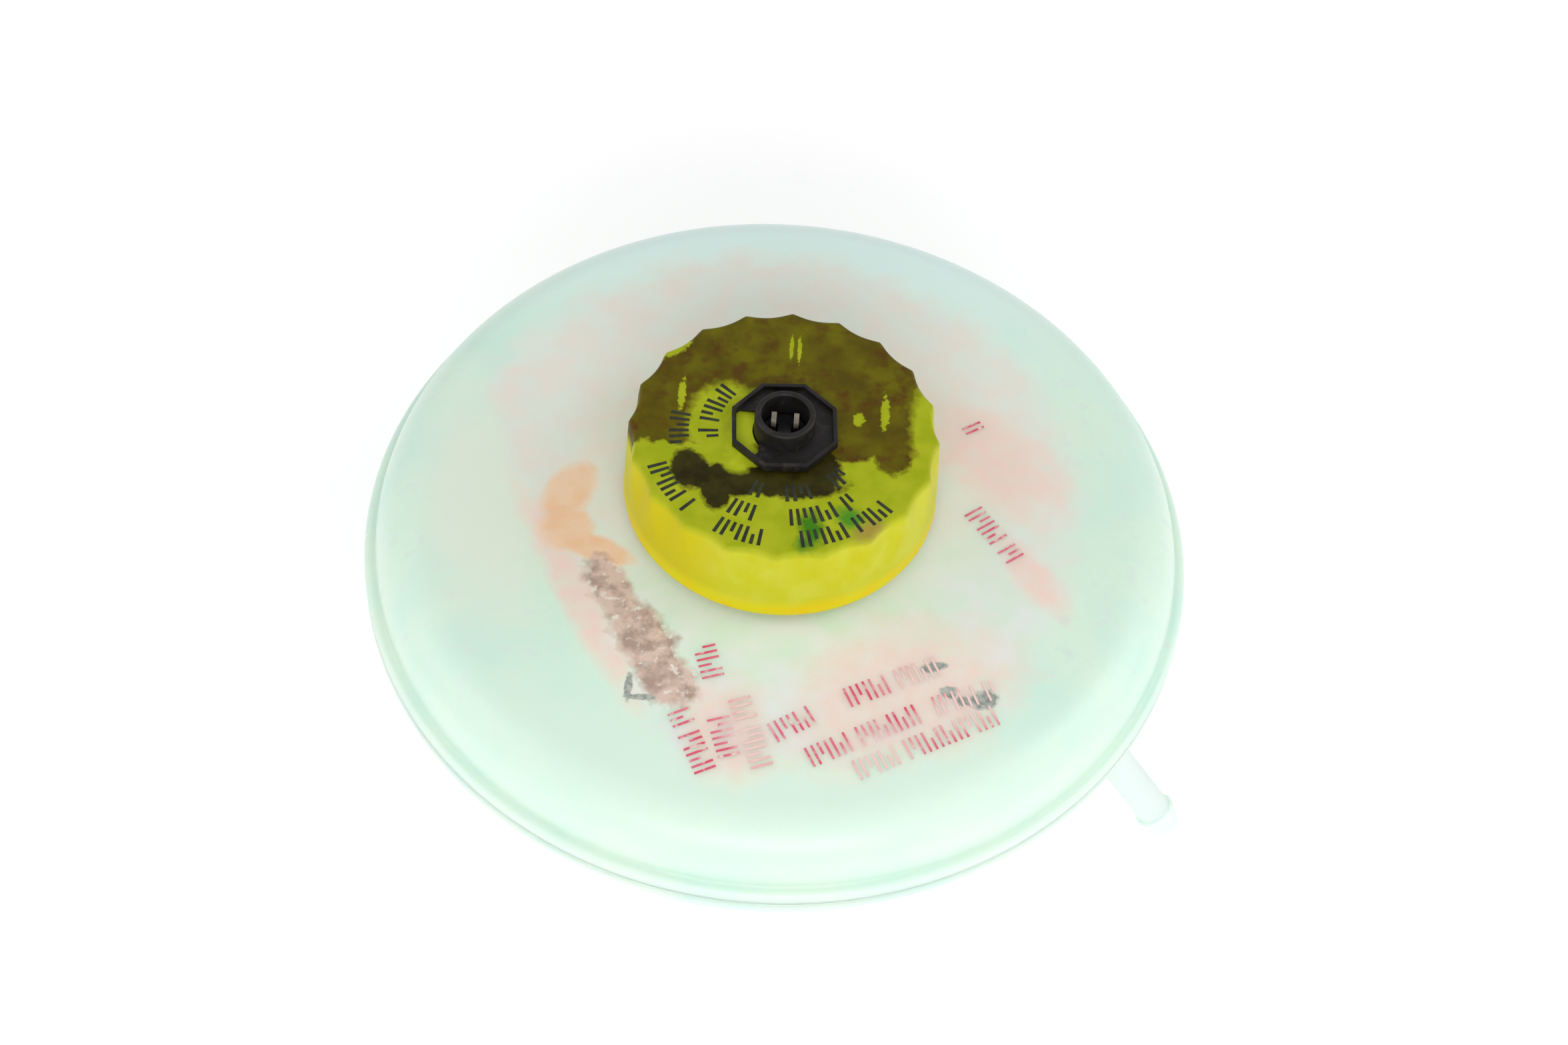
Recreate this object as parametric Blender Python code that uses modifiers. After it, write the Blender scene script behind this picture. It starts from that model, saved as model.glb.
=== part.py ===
"""Brake fluid reservoir: two welded shells, strainer, fluted screw cap and level sensor with its float.

Metres, +Z up. The origin is on the flat underside of the saddle that sits on the master cylinder,
between the two outlet stubs. The filler neck, cap and sensor share the Z axis.
"""
import math

import bmesh
import bpy
from mathutils import Matrix, Vector

# Clearances
GAP = 0.0003
SLIDE_GAP = 0.0005

# Shells, both of one wall, welded flange to flange
SEGMENTS = 52
SHELL_WALL = 0.0024
SIDE_RADIUS = 0.0668
FLANGE_RADIUS = 0.0688
FLANGE_THICKNESS = 0.0023
WELD_HEIGHT = 0.0400
SIDE_STRAIGHT = 0.0008
SHOULDER_RADIUS = 0.0090
SHOULDER_START_DEG = 84
DOME_RISE = 0.0024
BOWL_RADIUS = 0.0230
BOWL_END_DEG = 72
FLOOR_RADIUS = 0.0340
FLOOR_HEIGHT = 0.0120

# Filler neck
NECK_RADIUS = 0.0213
NECK_WALL = 0.0022
NECK_LENGTH = 0.0112
NECK_CHAMFER = 0.0005
NECK_FILLET = 0.0010

# Outlet stubs, saddle and fixing lugs under the bowl
STUB_SPACING = 0.0420
STUB_RADIUS = 0.0093
STUB_BORE = 0.0050
STUB_LENGTH = 0.0140
STUB_CHAMFER = 0.0012
BEAD_HEIGHT = 0.0006
BEAD_WIDTH = 0.0022
BEAD_SLOPE = 0.0007
BEAD_OFFSET = 0.0060
COLLAR_WIDTH = 0.0030
SADDLE_THICKNESS = 0.0030
SADDLE_WIDTH = 0.0144
LUG_GAP = 0.0120
LUG_THICKNESS = 0.0035
LUG_WIDTH = 0.0160
LUG_DROP = 0.0080
PIN_HOLE_RADIUS = 0.0026
WEB_THICKNESS = 0.0050
RIB_THICKNESS = 0.0024
RIB_REACH = 0.0160
RIB_DEPTH = 0.0080

# Hose nozzle, square to the bowl's skin
NOZZLE_TURN_DEG = -20
NOZZLE_DROP_DEG = 50
NOZZLE_RADIUS = 0.0030
NOZZLE_BORE = 0.0017
NOZZLE_LENGTH = 0.0270
BARB_HEIGHT = 0.0006
BARB_LENGTH = 0.0045

# Partition between the two brake circuits
PARTITION_THICKNESS = 0.0020
PARTITION_HEIGHT = 0.0190
PARTITION_CLEARANCE = 0.0020

# Strainer
STRAINER_WALL = 0.0012
STRAINER_FLOOR_CLEARANCE = 0.0012
LIP_THICKNESS = 0.0010
MESH_THICKNESS = 0.0004
STRAINER_BARS = 8
STRAINER_BAR_WIDTH = 0.0030
STRAINER_HOOP = 0.0025
STRAINER_TOP_BAND = 0.0050
STRAINER_HUB_RADIUS = 0.0060
FLOOR_WINDOWS = 4

# Screw cap
CAP_RADIUS = 0.02565
CAP_TOP_RADIUS = 0.0250
CAP_DEPTH = 0.0156
CAP_PLATE = 0.0022
CAP_EDGE = 0.0007
CAP_RIM = 0.0013
CAP_SEGMENTS = 60
THREAD_ROOM = 0.0015
FLUTES = 20
FLUTE_DEPTH = 0.0010
FLUTE_LENGTH = 0.0115
FLUTE_STEPS = 5
GASKET_THICKNESS = 0.0015
GASKET_WIDTH = 0.0046

# Sensor head, its socket and its fixing under the cap's plate
POST_RADIUS = 0.00565
POST_RISE = 0.0045
POST_EDGE = 0.0006
SOCKET_RADIUS = 0.0042
SOCKET_DEPTH = 0.0060
HEAD_WEB = 0.0019
COLLAR_FLATS = 0.0168
COLLAR_WALL = 0.0008
COLLAR_RISE = 0.0028
COLLAR_FLOOR = 0.0008
WINDOW_WIDTH = 0.0066
WINDOW_MARGIN = 0.0001
SEAL_THICKNESS = 0.0012
SEAL_WIDTH = 0.0035
SNAP_THICKNESS = 0.0012
SNAP_WIDTH = 0.0032
SNAP_GROOVE = 0.0006
SNAP_OPENING_DEG = 40
BARREL_END = 0.0013
BLADE_THICKNESS = 0.0008
BLADE_WIDTH = 0.0028
BLADE_SPACING = 0.0036
BLADE_RECESS = 0.0010
POTTING_THICKNESS = 0.0008

# Guide stem, reed switch and float
STEM_RADIUS = 0.0032
STEM_BORE = 0.0019
STEM_END_WALL = 0.0014
STEM_END_CLEARANCE = 0.0010
STEM_CHAMFER = 0.0006
STOP_RADIUS = 0.0052
STOP_THICKNESS = 0.0015
STOP_DROP = 0.0055
CLIP_THICKNESS = 0.0010
CLIP_GROOVE = 0.0005
CLIP_SHOULDER = 0.0012
FLOAT_RADIUS = 0.0115
FLOAT_HEIGHT = 0.0140
FLOAT_EDGE = 0.0020
FLOAT_SLEEVE = 0.0008
MAGNET_WIDTH = 0.0026
MAGNET_HEIGHT = 0.0040
COVER_THICKNESS = 0.0010
REED_RADIUS = 0.00095
REED_TIP_RADIUS = 0.00055
REED_LENGTH = 0.0140
LEAD_RADIUS = 0.0003
LEAD_ROOM = 0.0012

# Heights that follow from the sizes above
FLANGE_TOP = WELD_HEIGHT + GAP / 2 + FLANGE_THICKNESS
FLANGE_BOTTOM = WELD_HEIGHT - GAP / 2 - FLANGE_THICKNESS
SHOULDER_CENTRE = FLANGE_TOP + SIDE_STRAIGHT
SHOULDER_TOP = SHOULDER_CENTRE + SHOULDER_RADIUS
DOME_TOP = SHOULDER_TOP + DOME_RISE
NECK_TOP = DOME_TOP + NECK_LENGTH
NECK_BORE = NECK_RADIUS - NECK_WALL
LIP_BOTTOM = NECK_TOP + GAP
LIP_TOP = LIP_BOTTOM + LIP_THICKNESS
GASKET_BOTTOM = LIP_TOP + GAP
CAP_ROOF = GASKET_BOTTOM + GASKET_THICKNESS + GAP
CAP_TOP = CAP_ROOF + CAP_PLATE
CAP_CAVITY = NECK_RADIUS + THREAD_ROOM
FLOOR_TOP = FLOOR_HEIGHT + SHELL_WALL
STRAINER_RADIUS = NECK_BORE - SLIDE_GAP
STRAINER_BOTTOM = FLOOR_TOP + STRAINER_FLOOR_CLEARANCE
MESH_RADIUS = STRAINER_RADIUS - STRAINER_WALL - GAP
MESH_BOTTOM = STRAINER_BOTTOM + STRAINER_WALL + GAP
STEM_TIP = MESH_BOTTOM + MESH_THICKNESS + STEM_END_CLEARANCE
CLIP_BOTTOM = STEM_TIP + CLIP_SHOULDER + GAP
CLIP_TOP = CLIP_BOTTOM + CLIP_THICKNESS
FLOAT_BOTTOM = CLIP_TOP + GAP
FLOAT_TOP = FLOAT_BOTTOM + FLOAT_HEIGHT
POST_TOP = CAP_TOP + POST_RISE
SOCKET_FLOOR = POST_TOP - SOCKET_DEPTH
HEAD_WEB_BOTTOM = SOCKET_FLOOR - HEAD_WEB
SEAL_BOTTOM = CAP_ROOF - GAP - SEAL_THICKNESS
SNAP_BOTTOM = SEAL_BOTTOM - GAP - SNAP_THICKNESS
BARREL_BOTTOM = SNAP_BOTTOM - GAP - BARREL_END
STEM_TOP = HEAD_WEB_BOTTOM - GAP
STOP_TOP = BARREL_BOTTOM - STOP_DROP
STOP_BOTTOM = STOP_TOP - STOP_THICKNESS

PARTS = bpy.data.collections.new("brake_fluid_reservoir")
CUTTERS = bpy.data.collections.new("cutters")


def clear_scene():
    for item in list(bpy.data.objects):
        bpy.data.objects.remove(item, do_unlink=True)
    for group in (PARTS, CUTTERS):
        bpy.context.scene.collection.children.link(group)


def linear(hex_colour):
    """Turns an sRGB hex colour to the linear RGBA that a shader takes."""
    channels = [int(hex_colour[i:i + 2], 16) / 255 for i in (1, 3, 5)]
    return [c / 12.92 if c <= 0.04045 else ((c + 0.055) / 1.055) ** 2.4 for c in channels] + [1.0]


def make_material(name, hex_colour, roughness, metallic=0.0, transmission=0.0):
    material = bpy.data.materials.new(name)
    material.use_nodes = True
    shader = material.node_tree.nodes["Principled BSDF"]
    shader.inputs["Base Color"].default_value = linear(hex_colour)
    shader.inputs["Roughness"].default_value = roughness
    shader.inputs["Metallic"].default_value = metallic
    shader.inputs["Transmission Weight"].default_value = transmission
    material.diffuse_color = linear(hex_colour)
    return material


def arc(centre_r, centre_z, radius, start_deg, end_deg, steps):
    """Points of an arc in the section plane, both ends included."""
    angles = [math.radians(start_deg + (end_deg - start_deg) * i / steps) for i in range(steps + 1)]
    return [(centre_r + radius * math.cos(a), centre_z + radius * math.sin(a)) for a in angles]


def circle(radius, steps, centre=(0.0, 0.0)):
    turns = [2 * math.pi * i / steps for i in range(steps)]
    return [(centre[0] + radius * math.cos(a), centre[1] + radius * math.sin(a)) for a in turns]


def rectangle(x_low, x_high, y_low, y_high):
    return [(x_low, y_low), (x_high, y_low), (x_high, y_high), (x_low, y_high)]


def turned(name, section, group, closed=True, steps=SEGMENTS):
    """Turns a section about Z. Its outer side runs from the top down, and an open one starts and ends
    on the axis."""
    points = [(r, 0.0, z) for r, z in section]
    edges = [(i, i + 1) for i in range(len(points) - 1)]
    if closed:
        edges.append((len(points) - 1, 0))
    mesh = bpy.data.meshes.new(name)
    mesh.from_pydata(points, edges, [])
    thing = bpy.data.objects.new(name, mesh)
    group.objects.link(thing)
    screw = thing.modifiers.new("turn", "SCREW")
    screw.steps = steps
    screw.render_steps = steps
    screw.use_merge_vertices = True
    screw.merge_threshold = 0.00001
    return thing


def plate(name, outlines, low, high, group):
    """A flat outline, with any holes, extruded along Z from low to high."""
    curve = bpy.data.curves.new(name, "CURVE")
    curve.dimensions = "2D"
    curve.fill_mode = "BOTH"
    curve.extrude = (high - low) / 2
    for outline in outlines:
        spline = curve.splines.new("POLY")
        spline.points.add(len(outline) - 1)
        for point, (x, y) in zip(spline.points, outline):
            point.co = (x, y, 0.0, 1.0)
        spline.use_cyclic_u = True
    guide = bpy.data.objects.new(name, curve)
    bpy.context.scene.collection.objects.link(guide)
    guide.location.z = (low + high) / 2
    return curve_to_mesh(guide, name, group)


def curve_to_mesh(guide, name, group):
    """Makes a curve a closed mesh with its caps welded on, and removes the curve."""
    bpy.context.view_layer.update()
    graph = bpy.context.evaluated_depsgraph_get()
    mesh = bpy.data.meshes.new_from_object(guide.evaluated_get(graph))
    welded = bmesh.new()
    welded.from_mesh(mesh)
    bmesh.ops.remove_doubles(welded, verts=welded.verts, dist=0.00001)
    welded.to_mesh(mesh)
    welded.free()
    place = guide.matrix_world.copy()
    bpy.data.objects.remove(guide, do_unlink=True)
    mesh.name = name
    thing = bpy.data.objects.new(name, mesh)
    group.objects.link(thing)
    thing.matrix_world = place
    return thing


def upright(thing):
    """Stands a plate drawn in X and Y up, so that its outline lies in Y and Z."""
    thing.matrix_world = Matrix.Rotation(math.radians(90), 4, "Z") @ Matrix.Rotation(
        math.radians(90), 4, "X") @ thing.matrix_world
    return thing


def combine(thing, other, operation):
    """Adds a Boolean modifier and marks the other shape as a guide."""
    step = thing.modifiers.new(other.name, "BOOLEAN")
    step.operation = operation
    step.solver = "EXACT"
    step.object = other
    other.hide_render = True
    other.display_type = "WIRE"


def settle(thing, material):
    """Turns the modifiers into the final mesh, smooth where it is round and sharp at real edges."""
    bpy.context.view_layer.update()
    graph = bpy.context.evaluated_depsgraph_get()
    mesh = bpy.data.meshes.new_from_object(thing.evaluated_get(graph))
    thing.modifiers.clear()
    thing.data = mesh
    mesh.name = thing.name
    mesh.shade_smooth()
    mesh.set_sharp_from_angle(angle=math.radians(32))
    mesh.materials.clear()
    mesh.materials.append(material)
    return thing


def crown(radius, start, end):
    """Height of the dome's outer skin, a shallow crown from the neck out to the shoulder."""
    share = (radius ** 2 - start ** 2) / (end ** 2 - start ** 2)
    shoulder_edge = SHOULDER_CENTRE + SHOULDER_RADIUS * math.sin(math.radians(SHOULDER_START_DEG))
    return DOME_TOP + (shoulder_edge - DOME_TOP) * share


def upper_shell(material):
    """Dome, shoulder and weld flange, with the filler neck moulded on."""
    shoulder_r = SIDE_RADIUS - SHOULDER_RADIUS
    start = NECK_RADIUS + NECK_FILLET
    end = shoulder_r + SHOULDER_RADIUS * math.cos(math.radians(SHOULDER_START_DEG))
    outer = [(NECK_RADIUS - NECK_CHAMFER, NECK_TOP), (NECK_RADIUS, NECK_TOP - NECK_CHAMFER)]
    outer += arc(start, DOME_TOP + NECK_FILLET, NECK_FILLET, 180, 270, 3)
    for i in range(1, 4):
        radius = start + (end - start) * i / 4
        outer.append((radius, crown(radius, start, end)))
    outer += arc(shoulder_r, SHOULDER_CENTRE, SHOULDER_RADIUS, SHOULDER_START_DEG, 0, 6)
    outer += [(SIDE_RADIUS, FLANGE_TOP), (FLANGE_RADIUS, FLANGE_TOP)]
    outer.append((FLANGE_RADIUS, WELD_HEIGHT + GAP / 2))
    inner = [(SIDE_RADIUS - SHELL_WALL, WELD_HEIGHT + GAP / 2)]
    inner += arc(shoulder_r, SHOULDER_CENTRE, SHOULDER_RADIUS - SHELL_WALL, 0, SHOULDER_START_DEG, 4)
    middle = (start + end) / 2
    inner.append((middle, crown(middle, start, end) - SHELL_WALL))
    inner += [(NECK_BORE, DOME_TOP - SHELL_WALL), (NECK_BORE, NECK_TOP)]
    return settle(turned("upper_shell", outer + inner, PARTS), material)


def bowl():
    """The turned wall of the lower shell, from its weld flange down to the flat floor."""
    centre_r = SIDE_RADIUS - BOWL_RADIUS
    top = WELD_HEIGHT - GAP / 2
    inner_radius = BOWL_RADIUS - SHELL_WALL
    inner_top_deg = -math.degrees(math.asin(GAP / 2 / inner_radius))
    outer_top_deg = -math.degrees(math.asin((WELD_HEIGHT - FLANGE_BOTTOM) / BOWL_RADIUS))
    section = [(0.0, FLOOR_TOP), (FLOOR_RADIUS, FLOOR_TOP)]
    section += arc(centre_r, WELD_HEIGHT, inner_radius, -BOWL_END_DEG, inner_top_deg, 5)
    section += [(FLANGE_RADIUS, top), (FLANGE_RADIUS, FLANGE_BOTTOM)]
    section += arc(centre_r, WELD_HEIGHT, BOWL_RADIUS, outer_top_deg, -BOWL_END_DEG, 6)
    section += [(FLOOR_RADIUS, FLOOR_HEIGHT), (0.0, FLOOR_HEIGHT)]
    return turned("lower_shell", section, PARTS, closed=False)


def stub(name, y):
    """An outlet stub: a seat collar at the floor, then a spigot with a sealing bead."""
    bead_top = -BEAD_OFFSET
    bead_bottom = bead_top - BEAD_WIDTH
    root = FLOOR_HEIGHT + SHELL_WALL / 2
    collar = STUB_RADIUS + COLLAR_WIDTH
    section = [(0.0, root), (collar, root), (collar, 0.0), (STUB_RADIUS, 0.0), (STUB_RADIUS, bead_top)]
    section += [(STUB_RADIUS + BEAD_HEIGHT, bead_top - BEAD_SLOPE)]
    section += [(STUB_RADIUS + BEAD_HEIGHT, bead_bottom + BEAD_SLOPE), (STUB_RADIUS, bead_bottom)]
    section += [(STUB_RADIUS, STUB_CHAMFER - STUB_LENGTH), (STUB_RADIUS - STUB_CHAMFER, -STUB_LENGTH)]
    section.append((0.0, -STUB_LENGTH))
    solid = turned(name, section, CUTTERS, closed=False, steps=24)
    solid.location.y = y
    return solid


def round_bar(name, radius, low, high, steps):
    section = [(0.0, high), (radius, high), (radius, low), (0.0, low)]
    return turned(name, section, CUTTERS, closed=False, steps=steps)


def lug(name, x):
    """One of the two fixing lugs, a plate with a round end about the cross pin."""
    half = LUG_WIDTH / 2
    root = FLOOR_HEIGHT + SHELL_WALL / 2
    outline = [(half, root), (-half, root)] + arc(0.0, -LUG_DROP, half, 180, 360, 10)
    hole = circle(PIN_HOLE_RADIUS, 16, (0.0, -LUG_DROP))
    return upright(plate(name, [outline, hole], x - LUG_THICKNESS / 2, x + LUG_THICKNESS / 2, CUTTERS))


def block(name, x_low, x_high, y_low, y_high, z_low, z_high):
    return plate(name, [rectangle(x_low, x_high, y_low, y_high)], z_low, z_high, CUTTERS)


def foot_rib(name, side):
    """A stiffening rib that runs from a stub's collar out under the bowl."""
    slope_end_r = SIDE_RADIUS - BOWL_RADIUS + BOWL_RADIUS * math.cos(math.radians(BOWL_END_DEG))
    slope_end_z = WELD_HEIGHT - BOWL_RADIUS * math.sin(math.radians(BOWL_END_DEG))
    slope = (slope_end_z - FLOOR_HEIGHT) / (slope_end_r - FLOOR_RADIUS)
    end = min(FLOOR_RADIUS + RIB_REACH, slope_end_r)
    sink = SHELL_WALL / 2
    start = STUB_SPACING / 2 + STUB_RADIUS
    outline = [(start, FLOOR_HEIGHT - RIB_DEPTH), (end, FLOOR_HEIGHT + slope * (end - FLOOR_RADIUS) + sink)]
    outline += [(FLOOR_RADIUS, FLOOR_HEIGHT + sink), (start, FLOOR_HEIGHT + sink)]
    outline = [(side * y, z) for y, z in outline]
    return upright(plate(name, [outline], -RIB_THICKNESS / 2, RIB_THICKNESS / 2, CUTTERS))


def partition(name, side):
    """One wing of the wall between the two circuits, trimmed to end inside the bowl's skin."""
    half = PARTITION_THICKNESS / 2
    inner_end = STRAINER_RADIUS + PARTITION_CLEARANCE
    low = FLOOR_TOP - SHELL_WALL / 2
    wing = block(name, inner_end, SIDE_RADIUS, -half, half, low, FLOOR_TOP + PARTITION_HEIGHT)
    if side < 0:
        wing.matrix_world = Matrix.Rotation(math.pi, 4, "Z") @ wing.matrix_world
    centre_r = SIDE_RADIUS - BOWL_RADIUS
    section = [(0.0, WELD_HEIGHT)]
    section += arc(centre_r, WELD_HEIGHT, BOWL_RADIUS - SHELL_WALL / 2, 0, -BOWL_END_DEG, 7)
    section += [(FLOOR_RADIUS, FLOOR_HEIGHT + SHELL_WALL / 2), (0.0, FLOOR_HEIGHT + SHELL_WALL / 2)]
    trim = turned(name + "_trim", section, CUTTERS, closed=False)
    combine(wing, trim, "INTERSECT")
    return wing


def nozzle_place():
    """Frame of the nozzle: its Z axis leaves the bowl's skin at a right angle."""
    drop = math.radians(NOZZLE_DROP_DEG)
    radius = SIDE_RADIUS - BOWL_RADIUS + BOWL_RADIUS * math.cos(drop)
    height = WELD_HEIGHT - BOWL_RADIUS * math.sin(drop)
    turn = Matrix.Rotation(math.radians(NOZZLE_TURN_DEG), 4, "Z")
    lean = Matrix.Rotation(math.radians(90) + drop, 4, "Y")
    return turn @ Matrix.Translation(Vector((radius, 0.0, height))) @ lean


def nozzle():
    """The clutch hose nozzle, with a barb behind its tip."""
    root = -SHELL_WALL / 2
    barb_start = NOZZLE_LENGTH - BARB_LENGTH
    tip = NOZZLE_RADIUS - BARB_HEIGHT
    section = [(0.0, NOZZLE_LENGTH), (tip, NOZZLE_LENGTH), (NOZZLE_RADIUS + BARB_HEIGHT, barb_start)]
    section += [(NOZZLE_RADIUS, barb_start), (NOZZLE_RADIUS, root), (0.0, root)]
    solid = turned("nozzle", section, CUTTERS, closed=False, steps=20)
    solid.matrix_world = nozzle_place()
    return solid


def lower_shell(material):
    """Bowl with its outlet stubs, saddle, lugs, ribs, nozzle and partition, one moulding."""
    shell = bowl()
    half = STUB_SPACING / 2
    lug_x = (LUG_GAP + LUG_THICKNESS) / 2
    root = FLOOR_HEIGHT + SHELL_WALL / 2
    combine(shell, block("web", -WEB_THICKNESS / 2, WEB_THICKNESS / 2, -half, half,
                         SADDLE_THICKNESS / 2, root), "UNION")
    for side in (-1, 1):
        end = "rear" if side > 0 else "front"
        combine(shell, stub("stub_" + end, side * half), "UNION")
        combine(shell, foot_rib("rib_" + end, side), "UNION")
        combine(shell, lug("lug_" + end, side * lug_x), "UNION")
        combine(shell, partition("partition_" + end, side), "UNION")
    combine(shell, block("saddle", -lug_x, lug_x, -SADDLE_WIDTH / 2, SADDLE_WIDTH / 2, 0.0,
                         SADDLE_THICKNESS), "UNION")
    combine(shell, nozzle(), "UNION")
    for side in (-1, 1):
        bore = round_bar("stub_bore", STUB_BORE, -STUB_LENGTH - GAP, FLOOR_TOP + SHELL_WALL, 24)
        bore.location.y = side * half
        bore.rotation_euler.z = math.pi / 24
        combine(shell, bore, "DIFFERENCE")
    bore = round_bar("nozzle_bore", NOZZLE_BORE, -2 * SHELL_WALL, NOZZLE_LENGTH + GAP, 12)
    bore.matrix_world = nozzle_place() @ Matrix.Rotation(math.pi / 12, 4, "Z")
    combine(shell, bore, "DIFFERENCE")
    return settle(shell, material)


def sector(inner, outer, start_deg, end_deg, steps):
    """Outline of a piece of a ring."""
    outside = arc(0.0, 0.0, outer, start_deg, end_deg, steps)
    inside = arc(0.0, 0.0, inner, end_deg, start_deg, steps)
    return outside + inside


def strainer_frame(material):
    """A cup with a lip that lies on the neck, its side and floor cut away to bars and hoops."""
    inner = STRAINER_RADIUS - STRAINER_WALL
    lip = NECK_RADIUS - NECK_CHAMFER
    floor = STRAINER_BOTTOM + STRAINER_WALL
    section = [(0.0, floor), (inner, floor), (inner, LIP_TOP), (lip, LIP_TOP), (lip, LIP_BOTTOM)]
    section += [(STRAINER_RADIUS, LIP_BOTTOM), (STRAINER_RADIUS, STRAINER_BOTTOM), (0.0, STRAINER_BOTTOM)]
    frame = turned("strainer_frame", section, PARTS, closed=False, steps=32)
    pitch = 360 / STRAINER_BARS
    bar = math.degrees(STRAINER_BAR_WIDTH / STRAINER_RADIUS)
    low = STRAINER_BOTTOM + STRAINER_WALL + STRAINER_HOOP
    high = LIP_BOTTOM - STRAINER_TOP_BAND
    middle = (low + high) / 2
    sides = [sector(inner - GAP, STRAINER_RADIUS + GAP, i * pitch + bar / 2, (i + 1) * pitch - bar / 2, 2)
             for i in range(STRAINER_BARS)]
    combine(frame, plate("strainer_low_row", sides, low, middle - STRAINER_HOOP / 2, CUTTERS), "DIFFERENCE")
    combine(frame, plate("strainer_high_row", sides, middle + STRAINER_HOOP / 2, high, CUTTERS), "DIFFERENCE")
    rim = inner - STRAINER_HOOP
    floor_pitch = 360 / FLOOR_WINDOWS
    floor_bar = math.degrees(STRAINER_BAR_WIDTH / rim)
    wedges = [sector(STRAINER_HUB_RADIUS, rim, i * floor_pitch + floor_bar, (i + 1) * floor_pitch - floor_bar,
                     3) for i in range(FLOOR_WINDOWS)]
    combine(frame, plate("strainer_floor", wedges, STRAINER_BOTTOM - GAP, floor + GAP, CUTTERS),
            "DIFFERENCE")
    return settle(frame, material)


def strainer_mesh(material):
    """The fine mesh cup that lines the frame."""
    wall = MESH_RADIUS - MESH_THICKNESS
    floor = MESH_BOTTOM + MESH_THICKNESS
    section = [(0.0, floor), (wall, floor), (wall, NECK_TOP), (MESH_RADIUS, NECK_TOP)]
    section += [(MESH_RADIUS, MESH_BOTTOM), (0.0, MESH_BOTTOM)]
    return settle(turned("strainer_mesh", section, PARTS, closed=False, steps=32), material)


def fluted_form():
    """A tapered form with hollow flutes, wider lower down so that the flutes fade out on the skirt."""
    valley = CAP_TOP_RADIUS - FLUTE_DEPTH
    outline = []
    for i in range(FLUTES * FLUTE_STEPS):
        across = 2 * (i % FLUTE_STEPS) / FLUTE_STEPS - 1
        radius = valley + FLUTE_DEPTH * across ** 2
        angle = 2 * math.pi * i / (FLUTES * FLUTE_STEPS)
        outline.append((radius * math.cos(angle), radius * math.sin(angle)))
    form = plate("fluted_form", [outline], CAP_TOP - 2 * CAP_DEPTH, CAP_TOP, CUTTERS)
    spread = 1 + 2 * CAP_DEPTH * (CAP_RADIUS - valley) / FLUTE_LENGTH / valley
    for corner in form.data.vertices:
        if corner.co.z < 0:
            corner.co.x *= spread
            corner.co.y *= spread
    form.location.z += GAP
    return form


def cap_ring(material):
    """The screw cap: a plate with a round hole for the sensor head, and a fluted skirt."""
    hole = POST_RADIUS + GAP
    bottom = CAP_TOP - CAP_DEPTH
    section = [(CAP_TOP_RADIUS - CAP_EDGE, CAP_TOP), (CAP_TOP_RADIUS, CAP_TOP - CAP_EDGE)]
    section += arc(CAP_RADIUS - CAP_RIM, bottom + CAP_RIM, CAP_RIM, 0, -90, 4)
    section += [(CAP_CAVITY, bottom), (CAP_CAVITY, CAP_ROOF), (hole, CAP_ROOF), (hole, CAP_TOP)]
    ring = turned("cap_ring", section, PARTS, steps=CAP_SEGMENTS)
    combine(ring, fluted_form(), "INTERSECT")
    return settle(ring, material)


def washer(name, inner, outer, low, high, material, steps=32):
    section = [(outer, high), (outer, low), (inner, low), (inner, high)]
    return settle(turned(name, section, PARTS, steps=steps), material)


def octagon(flats):
    corner = flats / 2 / math.cos(math.pi / 8)
    return [(corner * math.cos(math.pi / 8 * (2 * i + 1)), corner * math.sin(math.pi / 8 * (2 * i + 1)))
            for i in range(8)]


def head_collar():
    """The eight-sided connector collar, with the window in its floor beside the post."""
    low = CAP_TOP + GAP
    inner_flats = COLLAR_FLATS - 2 * COLLAR_WALL
    bored = (POST_RADIUS + SOCKET_RADIUS) / 2
    collar = plate("head_collar", [octagon(COLLAR_FLATS), circle(bored, 32)], low, CAP_TOP + COLLAR_RISE,
                   CUTTERS)
    inside = plate("collar_inside", [octagon(inner_flats)], low + COLLAR_FLOOR, POST_TOP, CUTTERS)
    combine(collar, inside, "DIFFERENCE")
    window = block("collar_window", WINDOW_MARGIN - inner_flats / 2, -SOCKET_RADIUS, -WINDOW_WIDTH / 2,
                   WINDOW_WIDTH / 2, CAP_TOP, low + COLLAR_FLOOR + GAP)
    combine(collar, window, "DIFFERENCE")
    return collar


def sensor_head(material):
    """Connector post with its socket, collar and barrel, and the groove for the snap ring."""
    groove = POST_RADIUS - SNAP_GROOVE
    bore = STEM_RADIUS + GAP
    section = [(0.0, SOCKET_FLOOR), (SOCKET_RADIUS, SOCKET_FLOOR), (SOCKET_RADIUS, POST_TOP)]
    section += [(POST_RADIUS - POST_EDGE, POST_TOP), (POST_RADIUS, POST_TOP - POST_EDGE)]
    section += [(POST_RADIUS, SEAL_BOTTOM), (groove, SEAL_BOTTOM), (groove, SNAP_BOTTOM - GAP)]
    section += [(POST_RADIUS, SNAP_BOTTOM - GAP), (POST_RADIUS, BARREL_BOTTOM), (bore, BARREL_BOTTOM)]
    section += [(bore, HEAD_WEB_BOTTOM), (0.0, HEAD_WEB_BOTTOM)]
    head = turned("sensor_head", section, PARTS, closed=False, steps=28)
    combine(head, head_collar(), "UNION")
    for side in (-1, 1):
        x = side * BLADE_SPACING / 2
        reach = BLADE_THICKNESS / 2 + GAP
        slot = block("blade_slot", x - reach, x + reach, -BLADE_WIDTH / 2 - GAP, BLADE_WIDTH / 2 + GAP,
                     HEAD_WEB_BOTTOM - GAP, SOCKET_FLOOR + GAP)
        combine(head, slot, "DIFFERENCE")
    return settle(head, material)


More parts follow.
